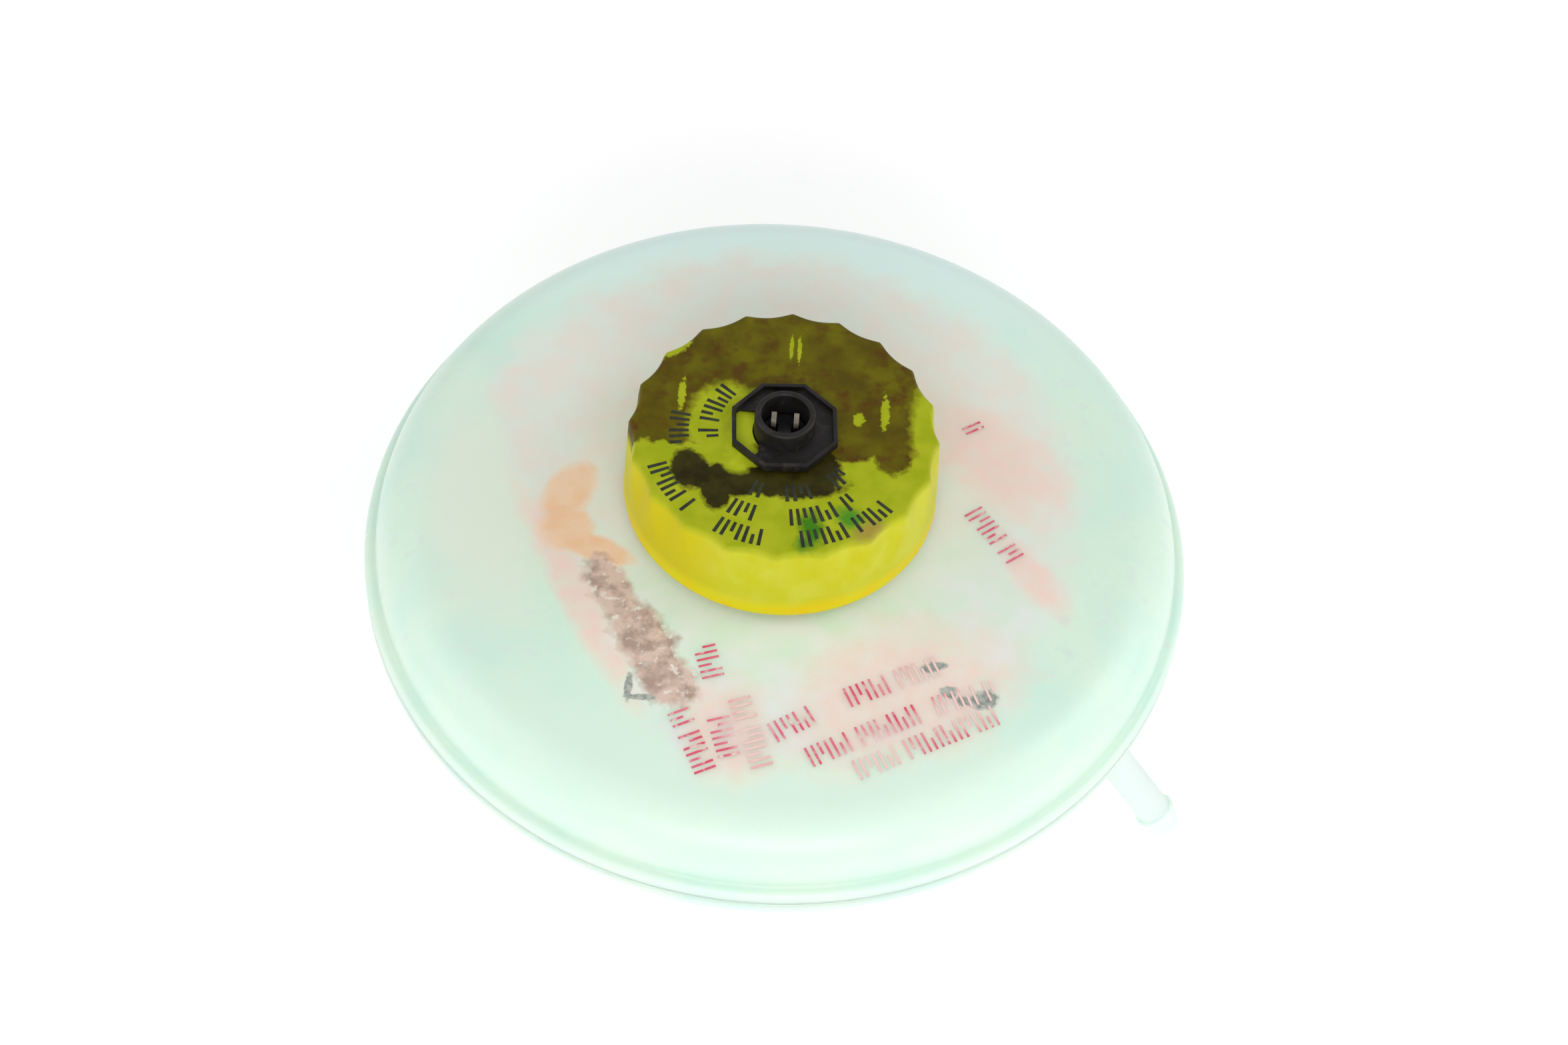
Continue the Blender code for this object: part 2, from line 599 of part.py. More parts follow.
def contact_blade(name, side, material):
    """A flat contact blade with a tapered tip."""
    low = HEAD_WEB_BOTTOM + GAP
    high = POST_TOP - BLADE_RECESS
    half = BLADE_WIDTH / 2
    tip = BLADE_THICKNESS
    outline = [(-half, low), (half, low), (half, high - tip), (half - tip / 2, high)]
    outline += [(tip / 2 - half, high), (-half, high - tip)]
    x = side * BLADE_SPACING / 2
    blade = plate(name, [outline], x - BLADE_THICKNESS / 2, x + BLADE_THICKNESS / 2, PARTS)
    return settle(upright(blade), material)


def socket_potting(material):
    """The disc of sealing resin on the socket's floor, open around the two blades."""
    outlines = [circle(SOCKET_RADIUS - GAP, 24)]
    reach = BLADE_THICKNESS / 2 + GAP
    for side in (-1, 1):
        x = side * BLADE_SPACING / 2
        outlines.append(rectangle(x - reach, x + reach, -BLADE_WIDTH / 2 - GAP, BLADE_WIDTH / 2 + GAP))
    low = SOCKET_FLOOR + GAP
    return settle(plate("socket_potting", outlines, low, low + POTTING_THICKNESS, PARTS), material)


def open_ring(name, inner, outer, low, high, material):
    """A flat retaining ring with an opening, so that it springs into its groove."""
    half = SNAP_OPENING_DEG / 2
    outline = sector(inner, outer, half, 360 - half, 20)
    return settle(plate(name, [outline], low, high, PARTS), material)


def guide_stem(material):
    """The closed tube that hangs from the sensor head, with the float's upper stop."""
    groove = STEM_RADIUS - CLIP_GROOVE
    section = [(0.0, STEM_TIP + STEM_END_WALL), (STEM_BORE, STEM_TIP + STEM_END_WALL)]
    section += [(STEM_BORE, STEM_TOP), (STEM_RADIUS, STEM_TOP), (STEM_RADIUS, STOP_TOP)]
    section += [(STOP_RADIUS, STOP_TOP), (STOP_RADIUS, STOP_BOTTOM), (STEM_RADIUS, STOP_BOTTOM)]
    section += [(STEM_RADIUS, CLIP_TOP + GAP), (groove, CLIP_TOP + GAP), (groove, CLIP_BOTTOM - GAP)]
    section += [(STEM_RADIUS, CLIP_BOTTOM - GAP), (STEM_RADIUS, STEM_TIP + STEM_CHAMFER)]
    section += [(STEM_RADIUS - STEM_CHAMFER, STEM_TIP), (0.0, STEM_TIP)]
    return settle(turned("guide_stem", section, PARTS, closed=False, steps=24), material)


def float_pocket():
    """Inner and outer radius of the float's pocket for the magnet."""
    inner = STEM_RADIUS + SLIDE_GAP + FLOAT_SLEEVE
    return inner, inner + MAGNET_WIDTH + 2 * GAP


def float_body(material):
    """The foamed float, with a sleeve that runs on the stem and a pocket for the ring magnet."""
    bore = STEM_RADIUS + SLIDE_GAP
    pocket_in, pocket_out = float_pocket()
    pocket_floor = FLOAT_TOP - MAGNET_HEIGHT - COVER_THICKNESS - 2 * GAP
    edge_r = FLOAT_RADIUS - FLOAT_EDGE
    section = arc(edge_r, FLOAT_TOP - FLOAT_EDGE, FLOAT_EDGE, 90, 0, 3)
    section += arc(edge_r, FLOAT_BOTTOM + FLOAT_EDGE, FLOAT_EDGE, 0, -90, 3)
    section += [(bore, FLOAT_BOTTOM), (bore, FLOAT_TOP), (pocket_in, FLOAT_TOP), (pocket_in, pocket_floor)]
    section += [(pocket_out, pocket_floor), (pocket_out, FLOAT_TOP)]
    return settle(turned("float", section, PARTS, steps=28), material)


def magnet_parts(magnet_material, cover_material):
    """The ring magnet in the float's pocket, under its pressed-in cover."""
    pocket_in, pocket_out = float_pocket()
    cover_low = FLOAT_TOP - COVER_THICKNESS
    magnet_high = cover_low - GAP
    magnet_low = magnet_high - MAGNET_HEIGHT
    washer("float_magnet", pocket_in + GAP, pocket_out - GAP, magnet_low, magnet_high, magnet_material, 28)
    washer("magnet_cover", pocket_in + GAP, pocket_out - GAP, cover_low, FLOAT_TOP, cover_material, 28)


def wire(name, points, material):
    """A round lead along straight runs."""
    curve = bpy.data.curves.new(name, "CURVE")
    curve.dimensions = "3D"
    curve.bevel_depth = LEAD_RADIUS
    curve.bevel_resolution = 1
    curve.use_fill_caps = True
    spline = curve.splines.new("POLY")
    spline.points.add(len(points) - 1)
    for point, place in zip(spline.points, points):
        point.co = (*place, 1.0)
    guide = bpy.data.objects.new(name, curve)
    bpy.context.scene.collection.objects.link(guide)
    return settle(curve_to_mesh(guide, name, PARTS), material)


def reed_parts(glass, copper):
    """The reed switch low in the stem, where the magnet closes it, and its two leads."""
    low = STEM_TIP + STEM_END_WALL + GAP + LEAD_ROOM
    high = low + REED_LENGTH
    reed_x = GAP + REED_RADIUS - STEM_BORE
    section = [(0.0, high), (REED_TIP_RADIUS, high), (REED_RADIUS, high - REED_RADIUS)]
    section += [(REED_RADIUS, low + REED_RADIUS), (REED_TIP_RADIUS, low), (0.0, low)]
    reed = settle(turned("reed_switch", section, PARTS, closed=False, steps=16), glass)
    reed.location.x = reed_x
    lead_x = STEM_BORE - GAP - LEAD_RADIUS
    below = low - GAP - LEAD_RADIUS
    top = HEAD_WEB_BOTTOM
    wire("reed_lead_lower", [(reed_x, 0.0, below), (lead_x - LEAD_RADIUS, 0.0, below),
                             (lead_x, 0.0, below + LEAD_RADIUS), (lead_x, 0.0, top)], copper)
    wire("reed_lead_upper", [(reed_x, 0.0, high + GAP), (reed_x, 0.0, high + REED_RADIUS),
                             (-lead_x, 0.0, high + 2 * REED_RADIUS), (-lead_x, 0.0, top)], copper)


def mount_on_axis(name, children, height, parent=None):
    """Hangs pieces that move together on an empty on the Z axis, without moving them."""
    empty = bpy.data.objects.new(name, None)
    empty.location.z = height
    empty.parent = parent
    PARTS.objects.link(empty)
    bpy.context.view_layer.update()
    if parent is not None:
        empty.matrix_parent_inverse = parent.matrix_world.inverted()
        bpy.context.view_layer.update()
    for child in children:
        piece = bpy.data.objects[child]
        piece.parent = empty
        piece.matrix_parent_inverse = empty.matrix_world.inverted()
    return empty


def build():
    clear_scene()
    milky = make_material("milky_polypropylene", "#E6F2E4", 0.35, transmission=0.4)
    yellow = make_material("yellow_cap_plastic", "#D8D33A", 0.4)
    black = make_material("black_nylon", "#1B1B1E", 0.45)
    rubber = make_material("black_rubber", "#141414", 0.8)
    natural = make_material("natural_nylon", "#E9E6DA", 0.5)
    foam = make_material("float_foam", "#3A3836", 0.85)
    tinned = make_material("tinned_brass", "#B9B6A8", 0.3, metallic=1.0)
    spring_steel = make_material("spring_steel", "#8B8D90", 0.35, metallic=1.0)
    ferrite = make_material("ferrite_magnet", "#3B3C40", 0.6)
    copper = make_material("tinned_copper", "#C3A58A", 0.35, metallic=1.0)
    glass = make_material("reed_glass", "#B7D6C0", 0.08, transmission=0.8)
    resin = make_material("sealing_resin", "#2A2A2E", 0.3)

    upper_shell(milky)
    lower_shell(milky)
    strainer_frame(natural)
    strainer_mesh(natural)

    cap_ring(yellow)
    gasket_outer = CAP_CAVITY - GAP
    gasket_top = GASKET_BOTTOM + GASKET_THICKNESS
    washer("cap_gasket", gasket_outer - GASKET_WIDTH, gasket_outer, GASKET_BOTTOM, gasket_top, rubber, 48)

    sensor_head(black)
    contact_blade("contact_left", -1, tinned)
    contact_blade("contact_right", 1, tinned)
    socket_potting(resin)
    seal_inner = POST_RADIUS + GAP
    washer("head_seal", seal_inner, seal_inner + SEAL_WIDTH, SEAL_BOTTOM, CAP_ROOF - GAP, rubber)
    snap_inner = POST_RADIUS - SNAP_GROOVE + GAP
    open_ring("snap_ring", snap_inner, snap_inner + SNAP_WIDTH, SNAP_BOTTOM, SNAP_BOTTOM + SNAP_THICKNESS,
              spring_steel)
    guide_stem(black)
    reed_parts(glass, copper)
    clip_inner = STEM_RADIUS - CLIP_GROOVE + GAP
    open_ring("stem_clip", clip_inner, STOP_RADIUS, CLIP_BOTTOM, CLIP_TOP, spring_steel)

    float_body(foam)
    magnet_parts(ferrite, natural)

    unit = mount_on_axis("sensor_unit", [
        "sensor_head", "contact_left", "contact_right", "socket_potting", "head_seal", "snap_ring",
        "guide_stem", "reed_switch", "reed_lead_lower", "reed_lead_upper", "stem_clip"], CAP_TOP)
    mount_on_axis("cap_turn_axis", ["cap_ring", "cap_gasket"], CAP_TOP, unit)
    mount_on_axis("float_axis", ["float", "float_magnet", "magnet_cover"], FLOAT_BOTTOM, unit)


build()
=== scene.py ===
"""Brake fluid reservoir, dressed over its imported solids: two welded shells of milky polypropylene, a
yellow screw cap with a black level sensor in its middle, and the strainer and float inside."""
import math
import bmesh
import bpy
from mathutils import Matrix, Vector


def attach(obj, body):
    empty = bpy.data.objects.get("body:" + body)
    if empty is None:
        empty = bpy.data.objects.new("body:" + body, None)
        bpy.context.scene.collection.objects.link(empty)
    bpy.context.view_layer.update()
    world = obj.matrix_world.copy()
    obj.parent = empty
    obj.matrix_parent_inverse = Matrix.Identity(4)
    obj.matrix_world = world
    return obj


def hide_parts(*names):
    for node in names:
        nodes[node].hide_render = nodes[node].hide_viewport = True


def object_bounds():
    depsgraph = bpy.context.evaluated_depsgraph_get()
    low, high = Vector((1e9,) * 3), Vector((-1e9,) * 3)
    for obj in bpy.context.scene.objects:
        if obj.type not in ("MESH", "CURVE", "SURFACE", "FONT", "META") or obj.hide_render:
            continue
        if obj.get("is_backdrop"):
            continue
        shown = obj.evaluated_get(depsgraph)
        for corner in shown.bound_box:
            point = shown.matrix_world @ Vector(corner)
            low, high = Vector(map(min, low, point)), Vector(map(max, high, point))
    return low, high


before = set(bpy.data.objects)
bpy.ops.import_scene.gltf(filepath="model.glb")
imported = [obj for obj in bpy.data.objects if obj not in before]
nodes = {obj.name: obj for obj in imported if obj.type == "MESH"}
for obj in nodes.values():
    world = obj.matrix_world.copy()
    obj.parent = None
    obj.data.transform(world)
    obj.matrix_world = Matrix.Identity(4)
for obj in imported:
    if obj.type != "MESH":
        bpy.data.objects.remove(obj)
cad_low, cad_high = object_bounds()

# Lower shell.
# The bowl is injection moulded in natural polypropylene, one piece with its outlet stubs, fixing lugs,
# ribs, hose nozzle and the wall between the two circuits. All its sizes are in millimetres.
MM = 0.001
weld_height = 40.0
weld_gap = 0.15
shell_wall = 2.4
side_radius = 66.8
flange_radius = 68.8
flange_thickness = 2.3
flange_edge = 0.9
flange_corner = 0.05
bowl_radius = 23.0
floor_radius = 34.0
floor_height = 12.0
mid_floor = floor_height + shell_wall / 2
stub_spread = 21.0
stub_radius = 9.3
stub_bore = 5.0
stub_length = 14.0
lug_drop = 8.0
lug_offset = 7.75
lug_half = 1.75
pin_radius = 2.6
rib_half = 1.2
web_half = 2.5
web_low = 1.5
saddle_half = 7.2
saddle_top = 3.0
partition_half = 1.0
partition_start = 20.6
partition_top = 33.4
nozzle_turn = -20
nozzle_drop = math.radians(50)
nozzle_bore = 1.7


def arc(across, height, radius, start, end, steps):
    """Points of an arc in the section plane, both ends included, its angles in degrees."""
    turns = [math.radians(start + (end - start) * i / steps) for i in range(steps + 1)]
    return [(across + radius * math.cos(a), height + radius * math.sin(a)) for a in turns]


def pick(piece, wanted):
    """Selects the vertices of a piece in edit mode whose place, in millimetres, passes the test."""
    mesh = bmesh.from_edit_mesh(piece.data)
    for item in (*mesh.verts, *mesh.edges, *mesh.faces):
        item.select = False
    for vertex in mesh.verts:
        vertex.select = wanted(vertex.co / MM)
    mesh.select_flush_mode()
    mesh.select_flush(True)
    bmesh.update_edit_mesh(piece.data)


def turned(name, section, sides=192, capped=False):
    """Turns a section, in millimetres, about Z: a circle is extruded and resized from point to point."""
    bpy.ops.object.select_all(action="DESELECT")
    radius, height = section[0]
    bpy.ops.mesh.primitive_circle_add(vertices=sides, radius=radius * MM, location=(0, 0, height * MM))
    piece = bpy.context.object
    piece.name = name
    bpy.ops.object.transform_apply(location=True, rotation=True, scale=True)
    bpy.ops.object.mode_set(mode="EDIT")
    bpy.ops.mesh.select_mode(type="VERT")
    bpy.ops.mesh.select_all(action="SELECT")
    for next_radius, next_height in section[1:] + ([] if capped else section[:1]):
        rise = (next_height - height) * MM
        bpy.ops.mesh.extrude_edges_move(TRANSFORM_OT_translate={"value": (0, 0, rise)})
        share = next_radius / radius
        bpy.ops.transform.resize(value=(share, share, 1), center_override=(0, 0, 0))
        radius, height = next_radius, next_height
    if capped:
        bpy.ops.mesh.edge_face_add()
        first = section[0]
        pick(piece, lambda p: abs(p.z - first[1]) < 1e-3 and abs(math.hypot(p.x, p.y) - first[0]) < 1e-3)
        bpy.ops.mesh.edge_face_add()
    bpy.ops.mesh.select_all(action="SELECT")
    bpy.ops.mesh.remove_doubles(threshold=1e-6)
    bpy.ops.mesh.normals_make_consistent(inside=False)
    bpy.ops.object.mode_set(mode="OBJECT")
    return piece


def plate(name, outlines, low, high, edge=0.0):
    """A flat outline with any holes, in millimetres, from low to high, its edges rounded by edge."""
    bpy.ops.object.select_all(action="DESELECT")
    curve = bpy.data.curves.new(name, "CURVE")
    curve.dimensions = "2D"
    curve.fill_mode = "BOTH"
    curve.extrude = (high - low) / 2 * MM
    for outline in outlines:
        spline = curve.splines.new("POLY")
        spline.points.add(len(outline) - 1)
        for point, (x, y) in zip(spline.points, outline):
            point.co = (x * MM, y * MM, 0, 1)
        spline.use_cyclic_u = True
    piece = bpy.data.objects.new(name, curve)
    bpy.context.scene.collection.objects.link(piece)
    piece.location.z = (low + high) / 2 * MM
    piece.select_set(True)
    bpy.context.view_layer.objects.active = piece
    bpy.ops.object.convert(target="MESH")
    bpy.ops.object.transform_apply(location=True, rotation=True, scale=True)
    bpy.ops.object.mode_set(mode="EDIT")
    bpy.ops.mesh.select_all(action="SELECT")
    bpy.ops.mesh.remove_doubles(threshold=1e-6)
    bpy.ops.mesh.dissolve_limited(angle_limit=math.radians(0.5))
    bpy.ops.mesh.normals_make_consistent(inside=False)
    bpy.ops.object.mode_set(mode="OBJECT")
    if edge:
        rounding = piece.modifiers.new("rounding", "BEVEL")
        rounding.width = edge * MM
        rounding.segments = 2
        rounding.angle_limit = math.radians(40)
        bpy.ops.object.modifier_apply(modifier="rounding")
    return piece


def place(piece, matrix):
    """Puts a piece where the matrix says and leaves its object at the origin."""
    bpy.ops.object.select_all(action="DESELECT")
    piece.select_set(True)
    bpy.context.view_layer.objects.active = piece
    piece.matrix_world = matrix @ piece.matrix_world
    bpy.ops.object.transform_apply(location=True, rotation=True, scale=True)
    return piece


def combine(piece, others, operation):
    """Joins the others to a piece, cuts them from it, or keeps what they share, and removes them."""
    for other in others:
        bpy.context.view_layer.objects.active = piece
        step = piece.modifiers.new("join", "BOOLEAN")
        step.operation = operation
        step.object = other
        bpy.ops.object.modifier_apply(modifier="join")
        bpy.data.objects.remove(other)
    return piece


def smooth(piece, degrees=30):
    """Shades a piece smooth where it is round, and leaves its real edges sharp."""
    bpy.ops.object.select_all(action="DESELECT")
    piece.select_set(True)
    bpy.context.view_layer.objects.active = piece
    bpy.ops.object.shade_smooth_by_angle(angle=math.radians(degrees))
    return piece


def rectangle(low_x, high_x, half_depth):
    """Outline of a rectangle that lies evenly about the X axis."""
    return [(low_x, -half_depth), (high_x, -half_depth), (high_x, half_depth), (low_x, half_depth)]


# Turns a flat outline upright, so that its X runs along the object's Y, and its Y runs up.
STANDING = Matrix.Rotation(math.radians(90), 4, "Z") @ Matrix.Rotation(math.radians(90), 4, "X")
bowl_centre = side_radius - bowl_radius
inner_bowl = bowl_radius - shell_wall
flange_under = weld_height - weld_gap - flange_thickness
section = [(floor_radius, floor_height + shell_wall)]
section += arc(bowl_centre, weld_height, inner_bowl, -72, -0.42, 18)
section += [(flange_radius - flange_corner, weld_height - weld_gap),
            (flange_radius, weld_height - weld_gap - flange_corner)]
section += arc(flange_radius - flange_edge, flange_under + flange_edge, flange_edge, 0, -90, 5)
section += arc(side_radius + 0.5, flange_under - 0.6, 0.6, 90, 170, 4)
section += arc(bowl_centre, weld_height, bowl_radius, -8.5, -72, 20)
section += [(floor_radius + 1, floor_height + 0.3), (floor_radius - 1, floor_height)]
lower_shell = turned("lower_shell_moulding", section, capped=True)

# Each side has an outlet stub, a fixing lug, a rib and its half of the wall between the circuits.
joined = []
lug_outline = [(lug_drop, mid_floor), (-lug_drop, mid_floor), *arc(0, -lug_drop, lug_drop, 180, 360, 28)]
pin_hole = arc(0, -lug_drop, pin_radius, 0, 348.75, 31)
for side in (-1, 1):
    stub_section = [(11, mid_floor), (13.4, 12.02), *arc(13.3, 11, 1.0, 100, 180, 5)]
    stub_section += [(12.3, 0.3), (12.0, 0), *arc(9.7, -0.4, 0.4, 90, 180, 3), (stub_radius, -6)]
    stub_section += [(9.62, -6.25), (9.9, -6.7), (9.9, -7.5), (9.62, -7.95), (stub_radius, -8.2)]
    stub_section += [(stub_radius, -12.8), (9.1, -13.1), (8.3, -13.9), (8.0, -stub_length)]
    stub = turned("stub", stub_section, sides=96, capped=True)
    joined.append(place(stub, Matrix.Translation((0, side * stub_spread * MM, 0))))
    lug_place = side * lug_offset
    lug = plate("lug", [lug_outline, pin_hole], lug_place - lug_half, lug_place + lug_half, edge=0.35)
    joined.append(place(lug, STANDING))
    rib_corners = ((30.3, 4.0), (49.2, 18.9), (34, mid_floor), (30.3, mid_floor))
    rib = plate("rib", [[(side * y, z) for y, z in rib_corners]], -rib_half, rib_half, edge=0.3)
    joined.append(place(rib, STANDING))
    wing_outline = rectangle(partition_start, side_radius, partition_half)
    wing = plate("wing", [wing_outline], mid_floor, partition_top, edge=0.2)
    if side < 0:
        place(wing, Matrix.Rotation(math.pi, 4, "Z"))
    mid_wall = arc(bowl_centre, weld_height, bowl_radius - shell_wall / 2, -72, 0, 14)
    trim = turned("trim", [(floor_radius, mid_floor), *mid_wall], capped=True)
    joined.append(combine(wing, [trim], "INTERSECT"))
joined.append(plate("web", [rectangle(-web_half, web_half, stub_spread)], web_low, mid_floor))
joined.append(plate("saddle", [rectangle(-lug_offset, lug_offset, saddle_half)], 0, saddle_top))

nozzle_root = Vector((bowl_centre + bowl_radius * math.cos(nozzle_drop), 0,
                      weld_height - bowl_radius * math.sin(nozzle_drop)))
nozzle_place = (Matrix.Rotation(math.radians(nozzle_turn), 4, "Z") @ Matrix.Translation(nozzle_root * MM)
                @ Matrix.Rotation(math.radians(90) + nozzle_drop, 4, "Y"))
nozzle_section = [(2.1, 27.0), (2.4, 26.8), (3.5, 22.8), (3.6, 22.6), (3.5, 22.5), (3.0, 22.5)]
nozzle_section += [*arc(4.4, 1.6, 1.4, 180, 262, 6), (4.4, -0.9)]
nozzle = place(turned("nozzle", nozzle_section, sides=48, capped=True), nozzle_place)
joined.append(nozzle)
combine(lower_shell, joined, "UNION")
# The bores of the stubs and the nozzle go through the wall, so they are cut last.
bores = []
for side in (-1, 1):
    bore = turned("bore", [(stub_bore, -15), (stub_bore, 18)], sides=64, capped=True)
    bores.append(place(bore, Matrix.Translation((0, side * stub_spread * MM, 0))))
hose_bore = turned("bore", [(nozzle_bore, -5), (nozzle_bore, 28)], sides=32, capped=True)
bores.append(place(hose_bore, nozzle_place))
combine(lower_shell, bores, "DIFFERENCE")
smooth(lower_shell)


def linear(hex_colour):
    """Turns an sRGB hex colour to the linear colour that a shader takes."""
    channels = [int(hex_colour[i:i + 2], 16) / 255 for i in (1, 3, 5)]
    return (*(c / 12.92 if c <= 0.04045 else ((c + 0.055) / 1.055) ** 2.4 for c in channels), 1.0)


def add_node(material, kind, settings=None, **inputs):
    """Adds a node with its settings. An input is a value, or a socket that is linked to it."""
    tree = material.node_tree
    node = tree.nodes.new(kind)
    for key, value in (settings or {}).items():
        setattr(node, key, value)
    for key, value in inputs.items():
        socket = node.inputs[int(key[1:]) if key[1:].isdigit() else key.replace("_", " ")]
        if isinstance(value, bpy.types.NodeSocket):
            tree.links.new(value, socket)
        else:
            socket.default_value = value
    return node


def new_finish(name, **values):
    """A material with its shader's plain values set, and the shader."""
    material = bpy.data.materials.new(name)
    material.use_nodes = True
    shader = material.node_tree.nodes["Principled BSDF"]
    for key, value in values.items():
        shader.inputs[key.replace("_", " ")].default_value = value
    return material, shader


def tint(material, colour, mask, new_colour):
    """Lays a hex colour, or another socket's colour, over a colour where the mask is 1."""
    over = linear(new_colour) if isinstance(new_colour, str) else new_colour
    under = linear(colour) if isinstance(colour, str) else colour
    mixed = add_node(material, "ShaderNodeMix", {"data_type": "RGBA"}, n0=mask, n6=under, n7=over)
    return mixed.outputs[2]


def mottling(material, vector, size, low=0.38, high=0.62, detail=4.0):
    """A mask of soft cloudy spots, whose size is given in millimetres."""
    cloud = add_node(material, "ShaderNodeTexNoise", Vector=vector, Scale=1 / (size * MM), Detail=detail)
    return add_node(material, "ShaderNodeMapRange", Value=cloud.outputs[0], From_Min=low,
                    From_Max=high).outputs[0]


def smudge_and_light_patch(material, vector, centre, size, turn=0, soft=0.25, ragged=0.5, tooth=2.5):
    """Mask of a patch, for wear and smears and for painted glow and shadow: an ellipse on the object, its
    edge frayed. Millimetres, degrees.
    """
    local = add_node(material, "ShaderNodeMapping", {"vector_type": "TEXTURE"}, Vector=vector,
                     Location=(centre[0] * MM, centre[1] * MM, 0), Rotation=(0, 0, math.radians(turn)),
                     Scale=(size[0] * MM, size[1] * MM, 1))
    reach = add_node(material, "ShaderNodeVectorMath", {"operation": "LENGTH"}, n0=local.outputs[0])
    fray = add_node(material, "ShaderNodeTexNoise", Vector=vector, Scale=1 / (tooth * MM), Detail=4.0)
    moved = add_node(material, "ShaderNodeMath", {"operation": "MULTIPLY_ADD"}, n0=fray.outputs[0],
                     n1=ragged * 2, n2=reach.outputs["Value"])
    edge = 1 + ragged
    return add_node(material, "ShaderNodeMapRange", Value=moved.outputs[0], From_Min=edge + soft,
                    From_Max=edge - soft).outputs[0]


def grain(material, shader, vector, size, depth):
    """Fine relief of the moulded or worn skin: the size of its grains and its depth in millimetres."""
    cloud = add_node(material, "ShaderNodeTexNoise", Vector=vector, Scale=1 / (size * MM), Detail=3.0)
    relief = add_node(material, "ShaderNodeBump", Height=cloud.outputs[0], Distance=depth * MM,
                      Strength=1.0)
    material.node_tree.links.new(relief.outputs[0], shader.inputs["Normal"])


def finish_colour(material, shader, colour):
    """Gives a finish its colour."""
    material.node_tree.links.new(colour, shader.inputs["Base Color"])


def wear(piece, material):
    """Gives a piece, or a CAD node, one finish all over."""
    piece.data.materials.clear()
    piece.data.materials.append(material)


# Natural polypropylene: waxy and milky, light soaks in and comes out softened, so edges glow.
# Years beside the engine have turned it slightly green, with fine mottling.
def milky_finish(name):
    """Returns the material, its shader, the object's coordinates and the mottled colour so far."""
    material, shader = new_finish(name, Roughness=0.34, IOR=1.49, Subsurface_Weight=0.8,
                                  Subsurface_Scale=0.004)
    shader.inputs["Subsurface Radius"].default_value = (1.0, 1.0, 0.9)
    vector = add_node(material, "ShaderNodeTexCoord").outputs["Object"]
    base = tint(material, "#CFF1DF", mottling(material, vector, 14), "#DAF6DE")
    base = tint(material, base, mottling(material, vector, 3.5, 0.55, 0.8), "#D6EADF")
    grain(material, shader, vector, 2.5, 0.03)
    return material, shader, vector, base


milky, milky_shader, milky_vector, milky_colour = milky_finish("milky_polypropylene")
# The nozzle has the thinnest walls and is painted paler: a painted glow for the light that comes through
# it.
nozzle_glow = smudge_and_light_patch(milky, milky_vector, (70, -25.5), (13, 6), nozzle_turn, 0.3, 0.2, 4)
milky_axes = add_node(milky, "ShaderNodeSeparateXYZ", Vector=milky_vector)
low_down = add_node(milky, "ShaderNodeMapRange", Value=milky_axes.outputs[2], From_Min=34 * MM,
                    From_Max=28 * MM)
nozzle_glow = add_node(milky, "ShaderNodeMath", {"operation": "MULTIPLY"}, n0=nozzle_glow,
                        n1=low_down.outputs[0]).outputs[0]
finish_colour(milky, milky_shader, tint(milky, milky_colour, nozzle_glow, "#E4F8EE"))
wear(lower_shell, milky)
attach(lower_shell, "reservoir")
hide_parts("lower_shell")

# Upper shell.
# The dome, its rounded shoulder and the filler neck are a second moulding, hot-plate welded to the
# bowl at their flanges. Its top carries what is left of a red print.
shoulder_radius = 9.0
shoulder_height = 43.25
shoulder_inset = side_radius - shoulder_radius
shoulder_start = 84
fillet = 1.1
neck_radius = 21.3
neck_inside = neck_radius - 2.2
neck_edge = 0.5
neck_top = 65.85
dome_top = 54.65
dome_start = neck_radius + 1.0
dome_end = shoulder_inset + shoulder_radius * math.cos(math.radians(shoulder_start))
dome_edge = shoulder_height + shoulder_radius * math.sin(math.radians(shoulder_start))


def crown(radius):
    """Height of the dome's skin at a radius, in millimetres."""
    share = (radius ** 2 - dome_start ** 2) / (dome_end ** 2 - dome_start ** 2)
    return dome_top + (dome_edge - dome_top) * share


flange_over = weld_height + weld_gap + flange_thickness
section = [(neck_radius - neck_edge, neck_top), (neck_radius - 0.15, neck_top - 0.15)]
section += [(neck_radius, neck_top - neck_edge), *arc(dome_start, dome_top + 1, 1.0, 180, 270, 6)]
section += [(r, crown(r)) for r in (26, 30, 34, 38, 42, 46, 50, 54, 57)]
section += arc(shoulder_inset, shoulder_height, shoulder_radius, shoulder_start, 2, 20)
section += arc(side_radius + fillet, flange_over + fillet, fillet, 180, 265, 6)
section += arc(flange_radius - flange_edge, flange_over - flange_edge, flange_edge, 90, 0, 5)
section += [(flange_radius, weld_height + weld_gap + flange_corner),
            (flange_radius - flange_corner, weld_height + weld_gap)]
section += [(side_radius - shell_wall, weld_height + weld_gap)]
section += arc(shoulder_inset, shoulder_height, shoulder_radius - shell_wall, 0, shoulder_start, 14)
section += [(r, crown(r) - shell_wall) for r in (50, 40, 30)]
section += [(neck_inside, dome_top - shell_wall), (neck_inside, neck_top - 0.3)]
section += [(neck_inside + 0.3, neck_top)]
upper_shell = turned("upper_shell_moulding", section)


